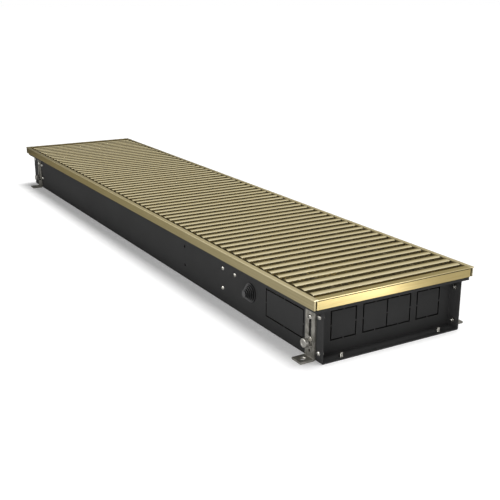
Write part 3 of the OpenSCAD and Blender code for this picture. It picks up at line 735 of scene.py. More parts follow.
# %% End plate
PLATE_X = 588.0
PAN_Y = 112.5
PAN_LOW = 2.4
PAN_TOP = 74.8
PAN_EDGE = 605.0
PAN_LIP_X = 606.1
KNOCK_YS, KNOCK_Z, KNOCK = (-89.5, -38.0, 1.5, 53.0), 21.5, 39.5
FLANGE_Y = 113
FACING_X = (0, math.pi / 2, 0)
middle_z = (PAN_LOW + PAN_TOP) / 2
plate = quad("end_plate", (PLATE_X, 0, middle_z), FACING_X, PAN_TOP - PAN_LOW, 2 * PAN_Y)
for side in (-1, 1):
    grow(plate, (PLATE_X, side * PAN_Y, middle_z), (PAN_EDGE - PLATE_X, 0, 0))
grow(plate, (PLATE_X, 0, PAN_LOW), (PAN_EDGE - PLATE_X, 0, 0))
grow(plate, (PLATE_X, 0, PAN_TOP), (PAN_LIP_X - PLATE_X, 0, 0))
grow(plate, (PAN_LIP_X, 0, PAN_TOP), (0, 0, LIP_LOW - PAN_TOP))
lip_mid = (LIP_LOW + PAN_TOP) / 2
for side in (-1, 1):
    grow(plate, (PAN_LIP_X, side * PAN_Y, lip_mid), (0, side * (LIP_EDGE - PAN_Y), 0))
face_towards(plate, (PLATE_X, 0, middle_z), (1, 0, 0))
round_bends(plate, [(PLATE_X, -PAN_Y, middle_z), (PLATE_X, PAN_Y, middle_z), (PLATE_X, 0, PAN_LOW),
                    (PLATE_X, 0, PAN_TOP), (PAN_LIP_X, 0, PAN_TOP)], 0.8)
leave()
thicken(plate, SHEET)
cutters = []
for y in KNOCK_YS:
    cutters += knock_out("plate_cutters", (PLATE_X, y, KNOCK_Z), (0, 1, 0), (0, 0, 1), KNOCK, KNOCK)
for side in (-1, 1):
    for z in END_SCREW_ZS:
        cutters.append(wall_hole(END_SCREW_X, side * FLANGE_Y, z))
cut_with(plate, joined(cutters, "plate_cutters"))
rounded(plate, 0.2, steps=1, angle=60)
far_plate = mirrored(plate, "end_plate_at_far_end", 0)
rename(plate, "end_plate_at_near_end")
dressed(plate, "tray_paint", "end_plate_near")
dressed(far_plate, "tray_paint", "end_plate_far")

# %% [markdown]
# ## Frame
# The frame is four lengths of an extruded profile: a face, a thin lip on top, an inner leg, and a
# ledge that carries the grille. Its section is grown from a quad, edge by edge, as a chain of
# quads, and then drawn out along its run. The lip runs on at both ends of a side, where the
# ledge is cut back to let the end profiles in, so the run is drawn out in stages.

# %% Side profile
FACE_Y = 131.25
LEG_T = 2.1
INNER_T = 1.7
LIP_Z, TOP_Z = 88.4, 90.0
LEDGE_TOP = 77.4
SIDE_LIP_IN = 125.3
LEDGE_IN_Y = 112.0
SIDE_LEDGE_X = 600.65
FACE_X = 609.0
LIP_OVER = 0.75


leg_in = FACE_Y - LEG_T
hollow_in = SIDE_LIP_IN + INNER_T
leg_middle_z = (FLANGE_TOP + LIP_Z) / 2
side_frame = quad("frame_side", (-SIDE_LEDGE_X, -(FACE_Y + leg_in) / 2, leg_middle_z), FACING_X,
                  LIP_Z - FLANGE_TOP, LEG_T)
x = -SIDE_LEDGE_X
lip_middle = (LIP_Z + TOP_Z) / 2
leg_y, inner_y = -(FACE_Y + leg_in) / 2, -(hollow_in + SIDE_LIP_IN) / 2
grow_all(side_frame, [
    ((x, leg_y, LIP_Z), (0, 0, TOP_Z - LIP_Z)),
    ((x, -FACE_Y, lip_middle), (0, -LIP_OVER, 0)),
    ((x, -leg_in, lip_middle), (0, leg_in - hollow_in, 0)),
    ((x, -hollow_in, lip_middle), (0, INNER_T, 0)),
    ((x, inner_y, LIP_Z), (0, 0, LEDGE_TOP - LIP_Z)),
    ((x, inner_y, LEDGE_TOP), (0, 0, FLANGE_TOP - LEDGE_TOP)),
    ((x, -SIDE_LIP_IN, (LEDGE_TOP + FLANGE_TOP) / 2), (0, SIDE_LIP_IN - LEDGE_IN_Y, 0)),
])
drawn_along((2 * SIDE_LEDGE_X, 0, 0))
for end in (-1, 1):
    # Past the ledge run the face with the lip over it, and past the face only the lip
    push(side_frame, lambda p, n: p.x * end > SIDE_LEDGE_X - 0.01 and abs(n.x) > 0.9
         and (p.z > LIP_Z or p.y < -leg_in), (end * (FACE_X - SIDE_LEDGE_X), 0, 0))
    push(side_frame, lambda p, n: p.x * end > FACE_X - 0.01 and abs(n.x) > 0.9 and p.z > LIP_Z,
         (end * LIP_OVER, 0, 0))
welded()
bpy.ops.mesh.dissolve_limited(angle_limit=math.radians(1))
pick(side_frame, "EDGE", lambda p: p.y < -FACE_Y - LIP_OVER + 0.01 and abs(p.x) < 600
     and (abs(p.z - LIP_Z) < 0.01 or abs(p.z - TOP_Z) < 0.01))
bpy.ops.mesh.bevel(offset=0.45 * MM, segments=3, affect="EDGES")
leave()
rounded(side_frame, 0.15)
right_frame = mirrored(side_frame, "frame_side_at_right", 1)
rename(side_frame, "frame_side_at_left")
dressed(side_frame, "gold_anodised", "frame_side_left")
dressed(right_frame, "gold_anodised", "frame_side_right")

# %% [markdown]
# The end profiles have the same section with a wider lip. Their lip fits between the side lips and
# their face runs on to the side's inner leg, so the widest stage is the face alone.

# %% End profile
END_LIP_IN = 600.75
END_INNER_OUT = 602.45
END_LEDGE_IN = 587.45
LINE_DEEP, LINE_H = 1.6, 1.1
LEDGE_HALF, LIP_HALF, FACE_HALF = 111.9, 125.2, 127.0
leg_in = FACE_X - LEG_T
end_frame = quad("frame_end", ((FACE_X + leg_in) / 2, -LEDGE_HALF, leg_middle_z),
                 (0, math.pi / 2, math.pi / 2), LIP_Z - FLANGE_TOP, LEG_T)
y = -LEDGE_HALF
leg_x, inner_x = (FACE_X + leg_in) / 2, (END_LIP_IN + END_INNER_OUT) / 2
grow_all(end_frame, [
    ((leg_x, y, LIP_Z), (0, 0, TOP_Z - LIP_Z)),
    ((FACE_X, y, lip_middle), (LIP_OVER, 0, 0)),
    ((leg_in, y, lip_middle), (END_INNER_OUT - leg_in, 0, 0)),
    ((END_INNER_OUT, y, lip_middle), (END_LIP_IN - END_INNER_OUT, 0, 0)),
    ((inner_x, y, LIP_Z), (0, 0, LEDGE_TOP - LIP_Z)),
    ((inner_x, y, LEDGE_TOP), (0, 0, FLANGE_TOP - LEDGE_TOP)),
    ((END_LIP_IN, y, (LEDGE_TOP + FLANGE_TOP) / 2), (END_LEDGE_IN - END_LIP_IN, 0, 0)),
])
drawn_along((0, 2 * LEDGE_HALF, 0))
for side in (-1, 1):
    push(end_frame, lambda p, n: p.y * side > LEDGE_HALF - 0.01 and abs(n.y) > 0.9
         and p.x > END_LIP_IN, (0, side * (LIP_HALF - LEDGE_HALF), 0))
    push(end_frame, lambda p, n: p.y * side > LIP_HALF - 0.01 and abs(n.y) > 0.9
         and p.x > leg_in and p.z < LIP_Z, (0, side * (FACE_HALF - LIP_HALF), 0))
welded()
bpy.ops.mesh.dissolve_limited(angle_limit=math.radians(1))
pick(end_frame, "EDGE", lambda p: p.x > FACE_X + LIP_OVER - 0.01 and abs(p.y) < 1
     and (abs(p.z - LIP_Z) < 0.01 or abs(p.z - TOP_Z) < 0.01))
bpy.ops.mesh.bevel(offset=0.3 * MM, segments=2, affect="EDGES")
leave()
cut_with(end_frame, block("shadow_line", (FACE_X - LINE_DEEP, -FACE_HALF - 1, LIP_Z - LINE_H),
                          (FACE_X + 2, FACE_HALF + 1, LIP_Z)))
rounded(end_frame, 0.15)
far_frame = mirrored(end_frame, "frame_end_at_far_end", 0)
rename(end_frame, "frame_end_at_near_end")
dressed(end_frame, "gold_anodised", "frame_end_near", paint=gold_end)
dressed(far_frame, "gold_anodised", "frame_end_far", paint=gold_end)

# %% [markdown]
# ## Grille bars
# A bar is a hollow extrusion with a domed top. One bar is shaped from a block: its top is divided
# into strips that are raised to an arc, its long edges are eased, and its ends are opened with an
# inset that is pushed in. Then an Array sets the 61 bars at their pitch.

# %% Grille bars
BARS = 61
PITCH = 19.55
BAR_W = 10.0
BAR_LOW = 78.4
DOME_R = 18.0
DOME_STRIPS = 6
HOLLOW_WALL, HOLLOW_DEPTH = 1.3, 12
bars_low, bars_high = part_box("grille_bars")
first_x = bars_low.x / MM
bar_left, bar_right = bars_low.y / MM, bars_high.y / MM
print("bars from", first_x, "ends", bar_left, bar_right, "top", bars_high.z / MM)
bar = block("bar", (first_x, bar_left, BAR_LOW), (first_x + BAR_W, bar_right, TOP_Z))
edit(bar)
middle_x = first_x + BAR_W / 2
pick(bar, "EDGE", lambda p: abs(p.x - middle_x) < 0.01)
bpy.ops.mesh.subdivide(number_cuts=DOME_STRIPS - 1)
for line in range(DOME_STRIPS + 1):
    away = BAR_W * (line / DOME_STRIPS - 0.5)
    sink = DOME_R - math.sqrt(DOME_R ** 2 - away ** 2)
    if sink > 0.001:
        pick(bar, "VERT", lambda p: abs(p.x - middle_x - away) < 0.01 and p.z > TOP_Z - 0.01)
        bpy.ops.transform.translate(value=mm(0, 0, -sink))
pick(bar, "EDGE", lambda p: abs(p.y - (bar_left + bar_right) / 2) < 0.01
     and abs(abs(p.x - middle_x) - BAR_W / 2) < 0.01)
bpy.ops.mesh.bevel(offset=0.5 * MM, segments=3, affect="EDGES")
for end_y in (bar_left, bar_right):
    pick(bar, "FACE", lambda p, n: abs(p.y - end_y) < 0.01)
    bpy.ops.mesh.dissolve_faces()
    pick(bar, "FACE", lambda p, n: abs(p.y - end_y) < 0.01)
    bpy.ops.mesh.inset(thickness=HOLLOW_WALL * MM)
    extrude((0, HOLLOW_DEPTH if end_y < 0 else -HOLLOW_DEPTH, 0))
leave()
repeated(bar, BARS, PITCH)
rename(bar, "bars_of_grille")
dressed(bar, "bar_anodised", "grille_bars", body="grille")

# %% [markdown]
# ## Screws, nuts and studs
# Small machine screws with domed heads hold the sheets together. A lathe makes a screw, and so does
# this: a disc is drawn out and resized from ring to ring. The thread is drawn as separate grooves
# and not as one helix, which looks the same at this size. Two crossed blocks cut the head's recess.

# %% Machine screw
SCREW_R = 2.0
HEAD_R, HEAD_H = 3.5, 2.4
THREAD_PITCH = 0.7
NUT_FLATS, NUT_H = 7.0, 3.2
NUT_BORE = 1.9
NUT_SEAT_Y = 109.3


def thread(radius, low, high, pitch):
    """Rings of a thread: a root and a crest at every turn."""
    turns = int((high - low) / pitch)
    return [ring for i in range(turns)
            for ring in ((radius * 0.87, low + i * pitch), (radius, low + (i + 0.5) * pitch))]


def machine_screw(name, length):
    """A domed screw with its seat at height 0, its head above and its shank below."""
    rings = [(SCREW_R * 0.6, -length)] + thread(SCREW_R, 0.4 - length, -0.4, THREAD_PITCH)
    rings += [(SCREW_R, -0.3), (SCREW_R, 0)]
    ball = (HEAD_R ** 2 + HEAD_H ** 2) / (2 * HEAD_H)
    for height in (0, 0.35, 0.8, 1.25, 1.65, 2.0, 2.25, 2.38):
        rings.append((math.sqrt(ball ** 2 - (height + ball - HEAD_H) ** 2), height))
    piece = turned(name, rings, sides=24)
    arms = []
    for long_x, long_y in ((2.1, 0.5), (0.5, 2.1)):
        arm = block("recess", (-long_x, -long_y, 0.9), (long_x, long_y, 3.4))
        edit(arm)
        pick(arm, "FACE", lambda p, n: n.z < -0.9)
        bpy.ops.transform.resize(value=(0.55, 0.55, 1), center_override=(0, 0, 0))
        leave()
        arms.append(arm)
    return cut_with(piece, joined(arms, "recess"))


def hex_nut(name, flats, height, bore):
    """A nut that stands on height 0, its corners turned off to a cone at both faces."""
    corner = flats / 2 / math.cos(math.pi / 6)
    piece = turned(name, [(corner, 0), (corner, height)], sides=6)
    cone = turned("cone", [(flats * 0.48, -0.01), (corner + 0.05, height * 0.16),
                           (corner + 0.05, height * 0.84), (flats * 0.48, height + 0.01)], sides=36)
    combined(piece, cone, "INTERSECT")
    return cut_with(piece, pin("bore", (0, 0, height / 2), (0, 0, 1), bore, height + 2))


def on_wall(x, y, z, side):
    """Stands an upright piece on a side wall with its top outwards: -1 is left and 1 is right."""
    return Matrix.Translation(mm(x, side * y, z)) @ Matrix.Rotation(-side * math.pi / 2, 4, "X")


def along_x(x, y, z):
    """Lays an upright piece down at a place, with its top towards +X."""
    return Matrix.Translation(mm(x, y, z)) @ Matrix.Rotation(math.pi / 2, 4, "Y")


def spread(model, name, matrices):
    """Copies a model to several places and joins the copies. The model is thrown away."""
    twins = [copied(model, name, matrix) for matrix in matrices]
    bpy.data.objects.remove(model)
    return joined(twins, name) if len(twins) > 1 else twins[0]


# %% Screws and nuts of the sheets
side_places = [(x, z) for x in SUPPORT_XS for z in (UPPER_Z, LOWER_Z)] + [(PLATE_SCREW_X, UPPER_Z)]
end_places = [(x, z) for x in (-END_SCREW_X, END_SCREW_X) for z in END_SCREW_ZS]
for kind, places in (("side", side_places), ("end", end_places)):
    # Each screw stopped at its own turn, so each recess points its own way
    heads = [on_wall(x, WALL_OUT, z, side) @ Matrix.Rotation(x * 0.37 + z + side, 4, "Z")
             for side in (-1, 1) for x, z in places]
    screws = spread(machine_screw("screw", 6.9), kind + "_screws_domed", heads)
    dressed(screws, "bright_steel", kind + "_screws")
    seats = [on_wall(x, NUT_SEAT_Y, z, side) for side in (-1, 1) for x, z in places]
    nuts = spread(hex_nut("nut", NUT_FLATS, NUT_H, NUT_BORE), kind + "_nuts_hexagon", seats)
    dressed(nuts, "bright_steel", kind + "_nuts")

# %% [markdown]
# Studs stand in the recess at each end, where the next trench of a long run is bolted on.

# %% Joining studs
stud = turned("stud", thread(2.5, 2.4, 8.2, 0.8) + [(2.45, 8.3), (1.9, 8.85), (1.0, 9.0)], sides=24)
STUD_X, STUD_Y = 601.5, 82
corners = [Matrix.Translation(mm(x, y, 0)) for x in (-STUD_X, STUD_X) for y in (-STUD_Y, STUD_Y)]
dressed(spread(stud, "joining_studs_threaded", corners), "bright_steel", "joining_studs")

# %% [markdown]
# ## Feet
# A foot is a strip of thick galvanised sheet with one bend. Its long slot lets the trench be raised
# over the rough floor, its small hole takes a nail, and its sole has a countersunk hole for an
# anchor. Only the back of the strip is drawn, its corners and its bend are bevelled, and
# Solidify gives the thickness.

# %% Foot bracket
FOOT_W, FOOT_T, FOOT_H = 21.0, 2.8, 68.0
FOOT_BACK, FOOT_TIP = 115.1, 138.0
GUIDE_Z, GUIDE_HEAD_Y, GUIDE_NUT_Y = 57.0, 117.9, 110.5
SLOT_HALF = 2.7
LEG_Y = -117
NAIL_Z, NAIL_R = 11.3, 1.8
ANCHOR_Y, ANCHOR_R = -128, 3.4
FOOT_SLOT_ZS = (CLAMP_Z, GUIDE_Z - 0.5)
foot = quad("foot", (0, -FOOT_BACK, FOOT_H / 2), (math.pi / 2, 0, 0), FOOT_W, FOOT_H)
grow(foot, (0, -FOOT_BACK, 0), (0, FOOT_BACK - FOOT_TIP, 0))
face_towards(foot, (0, -FOOT_BACK, FOOT_H / 2), (0, 1, 0))
pick(foot, "VERT", lambda p: p.z > FOOT_H - 1 or p.y < 1 - FOOT_TIP)
bpy.ops.mesh.bevel(offset=0.8 * MM, segments=3, affect="VERTICES")
round_bends(foot, [(0, -FOOT_BACK, 0)], 3.6, steps=5)
leave()
thicken(foot, FOOT_T)
cutters = [block("slot", (-SLOT_HALF, LEG_Y - 5, FOOT_SLOT_ZS[0]),
                 (SLOT_HALF, LEG_Y + 5, FOOT_SLOT_ZS[1]))]
for z in FOOT_SLOT_ZS:
    cutters.append(wall_hole(0, LEG_Y, z, SLOT_HALF, 10.2))
cutters.append(wall_hole(0, LEG_Y, NAIL_Z, NAIL_R, 10))
sink = turned("countersink", [(ANCHOR_R, -1), (ANCHOR_R, 1.5), (5.1, 3.2)])
sink.data.transform(Matrix.Translation(mm(0, ANCHOR_Y, 0)))
cutters.append(sink)
cut_with(foot, joined(cutters, "foot_cutters"))
rounded(foot, 0.25, angle=50)

FEET = {"near_left": (NEAR_FOOT_X, -1), "near_right": (NEAR_FOOT_X, 1),
        "far_left": (FAR_FOOT_X, -1), "far_right": (FAR_FOOT_X, 1)}
guide = machine_screw("guide", 8.6)
guide_nut = hex_nut("guide nut", NUT_FLATS, NUT_H, NUT_BORE)
for name, (x, side) in FEET.items():
    body = "foot_" + name
    placed = Matrix.Translation(mm(x, 0, 0)) @ Matrix.Scale(-side, 4, (0, 1, 0))
    dressed(copied(foot, "foot_strip_" + name, placed), "galvanised", "foot_bracket_" + name,
            body=body)
    head = on_wall(x, GUIDE_HEAD_Y, GUIDE_Z, side) @ Matrix.Rotation(x + side, 4, "Z")
    dressed(copied(guide, "guide_dome_" + name, head), "bright_steel", "guide_screw_" + name,
            body=body)
    seat = on_wall(x, GUIDE_NUT_Y, GUIDE_Z, side)
    dressed(copied(guide_nut, "guide_hexagon_" + name, seat), "bright_steel", "guide_nut_" + name,
            body=body)
for model in (foot, guide, guide_nut):
    bpy.data.objects.remove(model)

# %% [markdown]
# The clamp bolt has a thick round head to grip, then a lock nut and a wide washer on the foot. Its
# face was turned flat, with a small chamfer round it.

# %% Clamp bolts
CLAMP_R = 2.5
CLAMP_HEAD_R, CLAMP_HEAD_H = 6.2, 5.3
SHANK_L = 17.2
rings = [(1.8, -SHANK_L)] + thread(CLAMP_R, 0.5 - SHANK_L, -0.5, 0.8)
rings += [(CLAMP_R, -0.4), (CLAMP_R, 0), (CLAMP_HEAD_R - 0.5, 0), (CLAMP_HEAD_R, 0.5),
          (CLAMP_HEAD_R, CLAMP_HEAD_H - 0.6), (CLAMP_HEAD_R - 0.6, CLAMP_HEAD_H),
          (CLAMP_HEAD_R - 2.4, CLAMP_HEAD_H), (CLAMP_HEAD_R - 2.7, CLAMP_HEAD_H - 0.25)]
clamp_bolt = turned("clamp", rings, sides=40)
washer = turned("washer", [(7.75, 0), (8.0, 0.2), (8.0, 0.8), (7.75, 1.0)], sides=40)
cut_with(washer, pin("bore", (0, 0, 0.5), (0, 0, 1), 2.7, 3))
for model, name, node, y in (
        (clamp_bolt, "clamp_bolts_turned", "clamp_bolts", 123.0),
        (washer, "clamp_washers_round", "clamp_washers", 118.0),
        (hex_nut("lock", 12.0, 4.0, 2.4), "clamp_lock_nuts_hexagon", "clamp_lock_nuts", 119.0),
        (hex_nut("inner", 8.0, 5.0, 2.4), "clamp_inner_nuts_hexagon", "clamp_inner_nuts", 108.8)):
    places = [on_wall(x, y, CLAMP_Z, side) for x, side in FEET.values()]
    dressed(spread(model, name, places), "bright_steel", node,
            paint=dull_zinc if node == "clamp_bolts" else None)

# %% [markdown]
# ## Cable grommet
# A soft rubber cone with steps, of which the fitter cuts off as many as the cable needs. A groove
# behind its flange snaps into the hole in the wall.

# %% Cable grommet
STEP_L, STEP_R, GROOVE, GROOVE_L = 2.0, 1.75, 2.0, 0.8
rings = [(3.0, 10.5), (3.0, -3.0), (11.5, -3.0), (12.0, -2.6), (12.0, -1.6), (11.6, -1.2), (10.9, -1.2),
         (10.9, 0), (13.6, 0), (14.0, 0.4), (14.0, 1.5), (13.8, 1.85), (13.4, 2.0)]
for step in range(5):
    # A step is a rounded rib, and the groove behind it shows where to cut
    radius, top = 12.0 - step * STEP_R, 2.0 + (step + 1) * STEP_L
    rings += [(radius - GROOVE, top - STEP_L), (radius - GROOVE, top - STEP_L + GROOVE_L),
              (radius - 0.25, top - STEP_L + GROOVE_L), (radius, top - STEP_L + GROOVE_L + 0.25),
              (radius, top - 0.3), (radius - 0.35, top)]
rings += [(1.5, 12.0)]
grommet = turned("grommet_stepped", rings, sides=48)
grommet.data.transform(on_wall(GROMMET_X, WALL_OUT, GROMMET_Z, -1))
dressed(grommet, "dark_rubber", "cable_grommet")

# %% [markdown]
# ## Heat exchanger
# Thin aluminium fins are pressed on two hairpins of copper tube. Each fin has a collar round every
# tube, which sets its distance from the next one. One fin is cut and collared, and an Array repeats
# it. A tube is a ring drawn along its straight runs and spun round its bend.

# %% Fins
TUBE_YS = (-60.0, -20.0, 20.0, 60.0)
PORT_YS = (-60, 60)
FIN_HALF_W, FIN_LOW, FIN_TOP = 75, 18, 68
TUBE_Z, TUBE_R = 43.0, 7.5
fins_low, fins_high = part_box("fin_pack")
FIN_T, FIN_PITCH = 0.5, 8.0
fin_x = fins_low.x / MM
fins = round((fins_high.x - fins_low.x) / MM / FIN_PITCH) + 1
fin = block("fin", (fin_x, -FIN_HALF_W, FIN_LOW), (fin_x + FIN_T, FIN_HALF_W, FIN_TOP))
cutters = [pin("tube hole", (fin_x, y, TUBE_Z), (1, 0, 0), TUBE_R + 0.05, 4, sides=20)
           for y in TUBE_YS]
cut_with(fin, joined(cutters, "tube_holes"))
collars = []
for y in TUBE_YS:
    collar = add("circle", "collar", (fin_x + FIN_T, y, TUBE_Z), radius=(TUBE_R + 0.9) * MM,
                 vertices=20, rotation=FACING_X)
    edit(collar)
    bpy.ops.mesh.select_mode(type="VERT")
    for share, out in ((0.95, 0.9), (1.0, 2.0)):
        bpy.ops.mesh.select_all(action="DESELECT")
        shape = bmesh.from_edit_mesh(collar.data)
        furthest = max(v.co.z for v in shape.verts)
        for vert in shape.verts:
            vert.select = vert.co.z > furthest - 1e-6
        shape.select_flush_mode()
        bmesh.update_edit_mesh(collar.data)
        extrude((out, 0, 0))
        bpy.ops.transform.resize(value=(1, share, share), center_override=mm(fin_x, y, TUBE_Z))
    leave()
    fix_place()
    collars.append(collar)
joined([fin] + collars, "fin")
repeated(fin, fins, FIN_PITCH)
rename(fin, "fins_collared")
print("fins:", fins)
dressed(fin, "fin_aluminium", "fin_pack")

# %% Copper tubes
TUBE_WALL = 0.8
HAIRPIN_Y = (TUBE_YS[0] + TUBE_YS[1]) / 2
TUBE_END_X, NEAR_BEND_X, FAR_BEND_X = 387.4, 349.4, -545.7


def tube(name, start, runs):
    """A tube from a place, in millimetres. A run is a length along X, or a bend: its centre's X and
    Y and its angle, which spin takes as positive clockwise from above."""
    piece = add("circle", name, start, radius=TUBE_R * MM, vertices=28, rotation=FACING_X)
    fix_place()
    edit(piece)
    # A bare ring has no faces yet, so it can only be picked by its points
    bpy.ops.mesh.select_mode(type="VERT")
    bpy.ops.mesh.select_all(action="SELECT")
    for run in runs:
        if len(run) == 1:
            extrude((run[0], 0, 0))
        else:
            bpy.ops.mesh.spin(steps=20, angle=run[2], center=mm(run[0], run[1], TUBE_Z),
                              axis=(0, 0, 1))
    welded()
    leave()
    return thicken(piece, TUBE_WALL)


left_hairpin = tube("hairpin_tube_left", (TUBE_END_X, TUBE_YS[0], TUBE_Z),
                    [(FAR_BEND_X - TUBE_END_X,), (FAR_BEND_X, HAIRPIN_Y, math.pi),
                     (NEAR_BEND_X - FAR_BEND_X,)])
right_hairpin = mirrored(left_hairpin, "hairpin_tube_right", 1)
near_bend = tube("return_bend_tube", (NEAR_BEND_X, TUBE_YS[1], TUBE_Z), [(NEAR_BEND_X, 0, -math.pi)])
for piece, node in ((left_hairpin, "hairpin_left"), (right_hairpin, "hairpin_right"),
                    (near_bend, "return_bend")):
    dressed(piece, "copper_tube", node)

# %% [markdown]
# ## Supports and connection plate
# Folded sheets carry the tubes: a plate across the trench with a flange screwed to each wall. As
# with the tray, one face is drawn, bent and thickened, and then the holes are cut.


# %% Cross plates
def cross_sheet(name, plate_x, inwards, rows, tube_ys, hole):
    """A folded sheet whose outer face is at X. Its flanges run along X, by the sign of inwards."""
    half, low, high = 113.7, 4.0, 70.0
    flange = 12
    middle = (low + high) / 2
    sheet = quad(name, (plate_x, 0, middle), FACING_X, high - low, 2 * half)
    for side in (-1, 1):
        grow(sheet, (plate_x, side * half, middle), (inwards * flange, 0, 0))
    face_towards(sheet, (plate_x, 0, middle), (-inwards, 0, 0))
    round_bends(sheet, [(plate_x, side * half, middle) for side in (-1, 1)], 2.0)
    pick(sheet, "VERT", lambda p: abs(p.x - plate_x) > flange - 1
         and (p.z < low + 1 or p.z > high - 1))
    bpy.ops.mesh.bevel(offset=3 * MM, segments=4, affect="VERTICES")
    leave()
    thicken(sheet, SHEET)
    cutters = [pin("hole", (plate_x, y, TUBE_Z), (1, 0, 0), hole, 6, sides=32) for y in tube_ys]
    for side in (-1, 1):
        for z in rows:
            cutters.append(wall_hole(plate_x + inwards * flange / 2, side * FLANGE_Y, z, length=4))
    cut_with(sheet, joined(cutters, "sheet_cutters"))
    rounded(sheet, 0.2, steps=1, angle=60)
    return sheet


ROWS = (UPPER_Z, LOWER_Z)
NEAR_SUPPORT_X, FAR_SUPPORT_X, CONNECTION_X = 343.2, -539.5, 391.4
SUPPORT_HOLE_R, BARREL_HOLE_R = TUBE_R + 0.4, 10.2
for name, node, plate_x, inwards, rows, tube_ys, hole in (
        ("near_support_folded", "support_near", NEAR_SUPPORT_X, 1, ROWS, TUBE_YS, SUPPORT_HOLE_R),
        ("far_support_folded", "support_far", FAR_SUPPORT_X, -1, ROWS, TUBE_YS, SUPPORT_HOLE_R),
        ("connection_plate_folded", "connection_plate", CONNECTION_X, -1, (UPPER_Z,),
         PORT_YS, BARREL_HOLE_R)):
    dressed(cross_sheet(name, plate_x, inwards, rows, tube_ys, hole), "galvanised", node)

# %% [markdown]
# ## Pipe fittings and air vent
# Half-inch brass fittings are turned from hexagon bar: a barrel through the plate, a hexagon for the
# spanner, and a mouth with a thread inside. The return one carries an air vent with a slotted screw.

# %% Fittings
HEX_FLATS, HEX_L, BARREL_R, BARREL_L = 27.0, 10.0, 10.0, 16.0
MOUTH_R, MOUTH_L = 13.0, 13.5
fitting = turned("fitting", [(BARREL_R - 0.4, -BARREL_L), (BARREL_R, 0.4 - BARREL_L), (BARREL_R, 0.5),
                             (MOUTH_R, 1.0), (MOUTH_R, HEX_L + 11.0), (MOUTH_R - 0.3, HEX_L + 11.2),
                             (MOUTH_R - 0.3, HEX_L + 11.8), (MOUTH_R, HEX_L + 12.0),
                             (MOUTH_R, HEX_L + 13.0), (MOUTH_R - 0.5, HEX_L + MOUTH_L)], sides=48)
combined(fitting, hex_nut("hexagon", HEX_FLATS, HEX_L, 5.0), "UNION")
SOCKET_R, SOCKET_L = TUBE_R + 0.05, 12
WAY_R, PORT_R = 6.7, 9.3
rings = [(SOCKET_R, -BARREL_L - 1), (SOCKET_R, SOCKET_L - BARREL_L), (WAY_R, SOCKET_L - BARREL_L),
         (WAY_R, 9.5)] + thread(PORT_R, 9.6, 23.0, 1.8) + [(PORT_R, 23.4), (PORT_R, 25)]
cut_with(fitting, turned("bore", rings, sides=48))
rounded(fitting, 0.15, steps=1, angle=50)
for node, y in zip(("supply_fitting", "return_fitting"), PORT_YS):
    twin = copied(fitting, node + "_turned", along_x(CONNECTION_X, y, TUBE_Z))
    dressed(twin, "fitting_brass", node)
bpy.data.objects.remove(fitting)
lock_nut = hex_nut("lock nut", HEX_FLATS, 4.0, BARREL_R + 0.05)
LOCK_NUT_X = 386.2
seats = [along_x(LOCK_NUT_X, y, TUBE_Z) for y in PORT_YS]
dressed(spread(lock_nut, "fitting_lock_nuts_hexagon", seats), "fitting_brass", "fitting_lock_nuts")

# %% Air vent
VENT_X, VENT_Y, VENT_Z = 396.4, PORT_YS[1], 56.5
VENT_H, VENT_R = 6.5, 4.8
vent = turned("vent_body_turned", [(VENT_R - 0.3, 0), (VENT_R, 0.3), (VENT_R, 2.2), (VENT_R - 0.4, 2.4),
                                   (VENT_R - 0.4, 3.0), (VENT_R, 3.2), (VENT_R, VENT_H - 0.5),
                                   (VENT_R - 0.5, VENT_H)], sides=40)
cut_with(vent, pin("vent bore", (0, 0, 4.6), (0, 0, 1), 2.55, 6))
vent.data.transform(Matrix.Translation(mm(VENT_X, VENT_Y, VENT_Z)))
dressed(vent, "fitting_brass", "vent_body")
spindle = turned("vent_spindle_slotted", [(2.0, -4.5)] + thread(2.5, -4.2, -0.3, 0.7) + [
    (2.5, 0), (2.5, 0.1), (3.7, 0.1), (4.0, 0.4), (4.0, 2.0), (3.6, 2.4)], sides=32)
cut_with(spindle, block("screwdriver slot", (-6, -0.6, 1.2), (6, 0.6, 4)))
spindle.data.transform(Matrix.Translation(mm(VENT_X, VENT_Y, VENT_Z + VENT_H)))
dressed(spindle, "bright_steel", "vent_screw", body="vent_spindle")

# %% [markdown]
# ## Parts of the grille and the strips under it
# Two steel wires string the bars, plastic sleeves keep them apart, and a stop holds each wire's end.
# Rubber strips on the ledges keep the bars from rattling.

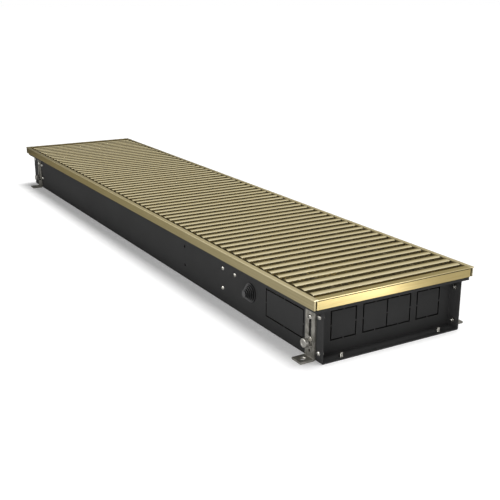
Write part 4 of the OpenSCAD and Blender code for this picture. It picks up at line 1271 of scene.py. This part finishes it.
# %% Wires, sleeves and stops
WIRE_R, WIRE_Z, WIRE_Y = 1.5, 82.8, 75.0
wires_low, wires_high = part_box("grille_wires")
shift = (wires_low.y + wires_high.y) / 2 / MM
half = wires_high.x / MM
wire = turned("wire", [(WIRE_R - 0.3, -half), (WIRE_R, 0.3 - half), (WIRE_R, half - 0.3),
                       (WIRE_R - 0.3, half)], sides=16)
wire_ys = (shift - WIRE_Y, shift + WIRE_Y)
runs = [along_x(0, y, WIRE_Z) for y in wire_ys]
dressed(spread(wire, "grille_wires_drawn", runs), "bright_steel", "grille_wires", body="grille")

sleeves_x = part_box("grille_sleeves")[0].x / MM
SLEEVE_L = PITCH - BAR_W - 0.2
sleeve = turned("sleeve", [(2.5, 0), (2.8, 0.3), (2.8, SLEEVE_L - 0.3), (2.5, SLEEVE_L)], sides=16)
cut_with(sleeve, pin("bore", (0, 0, SLEEVE_L / 2), (0, 0, 1), 1.7, SLEEVE_L + 2, sides=16))
starts = [along_x(sleeves_x, y, WIRE_Z) for y in wire_ys]
sleeves = spread(sleeve, "grille_sleeves_moulded", starts)
repeated(sleeves, BARS - 1, PITCH)
dressed(sleeves, "sleeve_plastic", "grille_sleeves", body="grille")

STOP_L = 2.5
stop_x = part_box("grille_end_stops")[1].x / MM - STOP_L
stop = turned("stop", [(2.8, 0), (3.1, 0.3), (3.1, 1.8), (2.4, STOP_L)], sides=20)
ends = [Matrix.Scale(end, 4, (1, 0, 0)) @ along_x(stop_x, y, WIRE_Z)
        for end in (-1, 1) for y in wire_ys]
dressed(spread(stop, "grille_stops_domed", ends), "bright_steel", "grille_end_stops",
        body="grille")

# %% Cushion strips
strip_low, strip_high = (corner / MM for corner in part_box("cushion_strip_left"))
cushion = block("cushion", strip_low, strip_high)
edit(cushion)
pick(cushion, "FACE", lambda p, n: n.z > 0.9)
bpy.ops.mesh.inset(thickness=1.2 * MM)
bpy.ops.transform.translate(value=mm(0, 0, -0.3))
pick(cushion, "FACE", lambda p, n: n.z > 0.9 and p.z < strip_high.z - 0.1)
bpy.ops.mesh.inset(thickness=2.2 * MM)
bpy.ops.transform.translate(value=mm(0, 0, 0.3))
leave()
rounded(cushion, 0.1)
twin = mirrored(cushion, "cushion_ribbed_right", 1)
rename(cushion, "cushion_ribbed_left")
dressed(cushion, "dark_rubber", "cushion_strip_left")
dressed(twin, "dark_rubber", "cushion_strip_right")
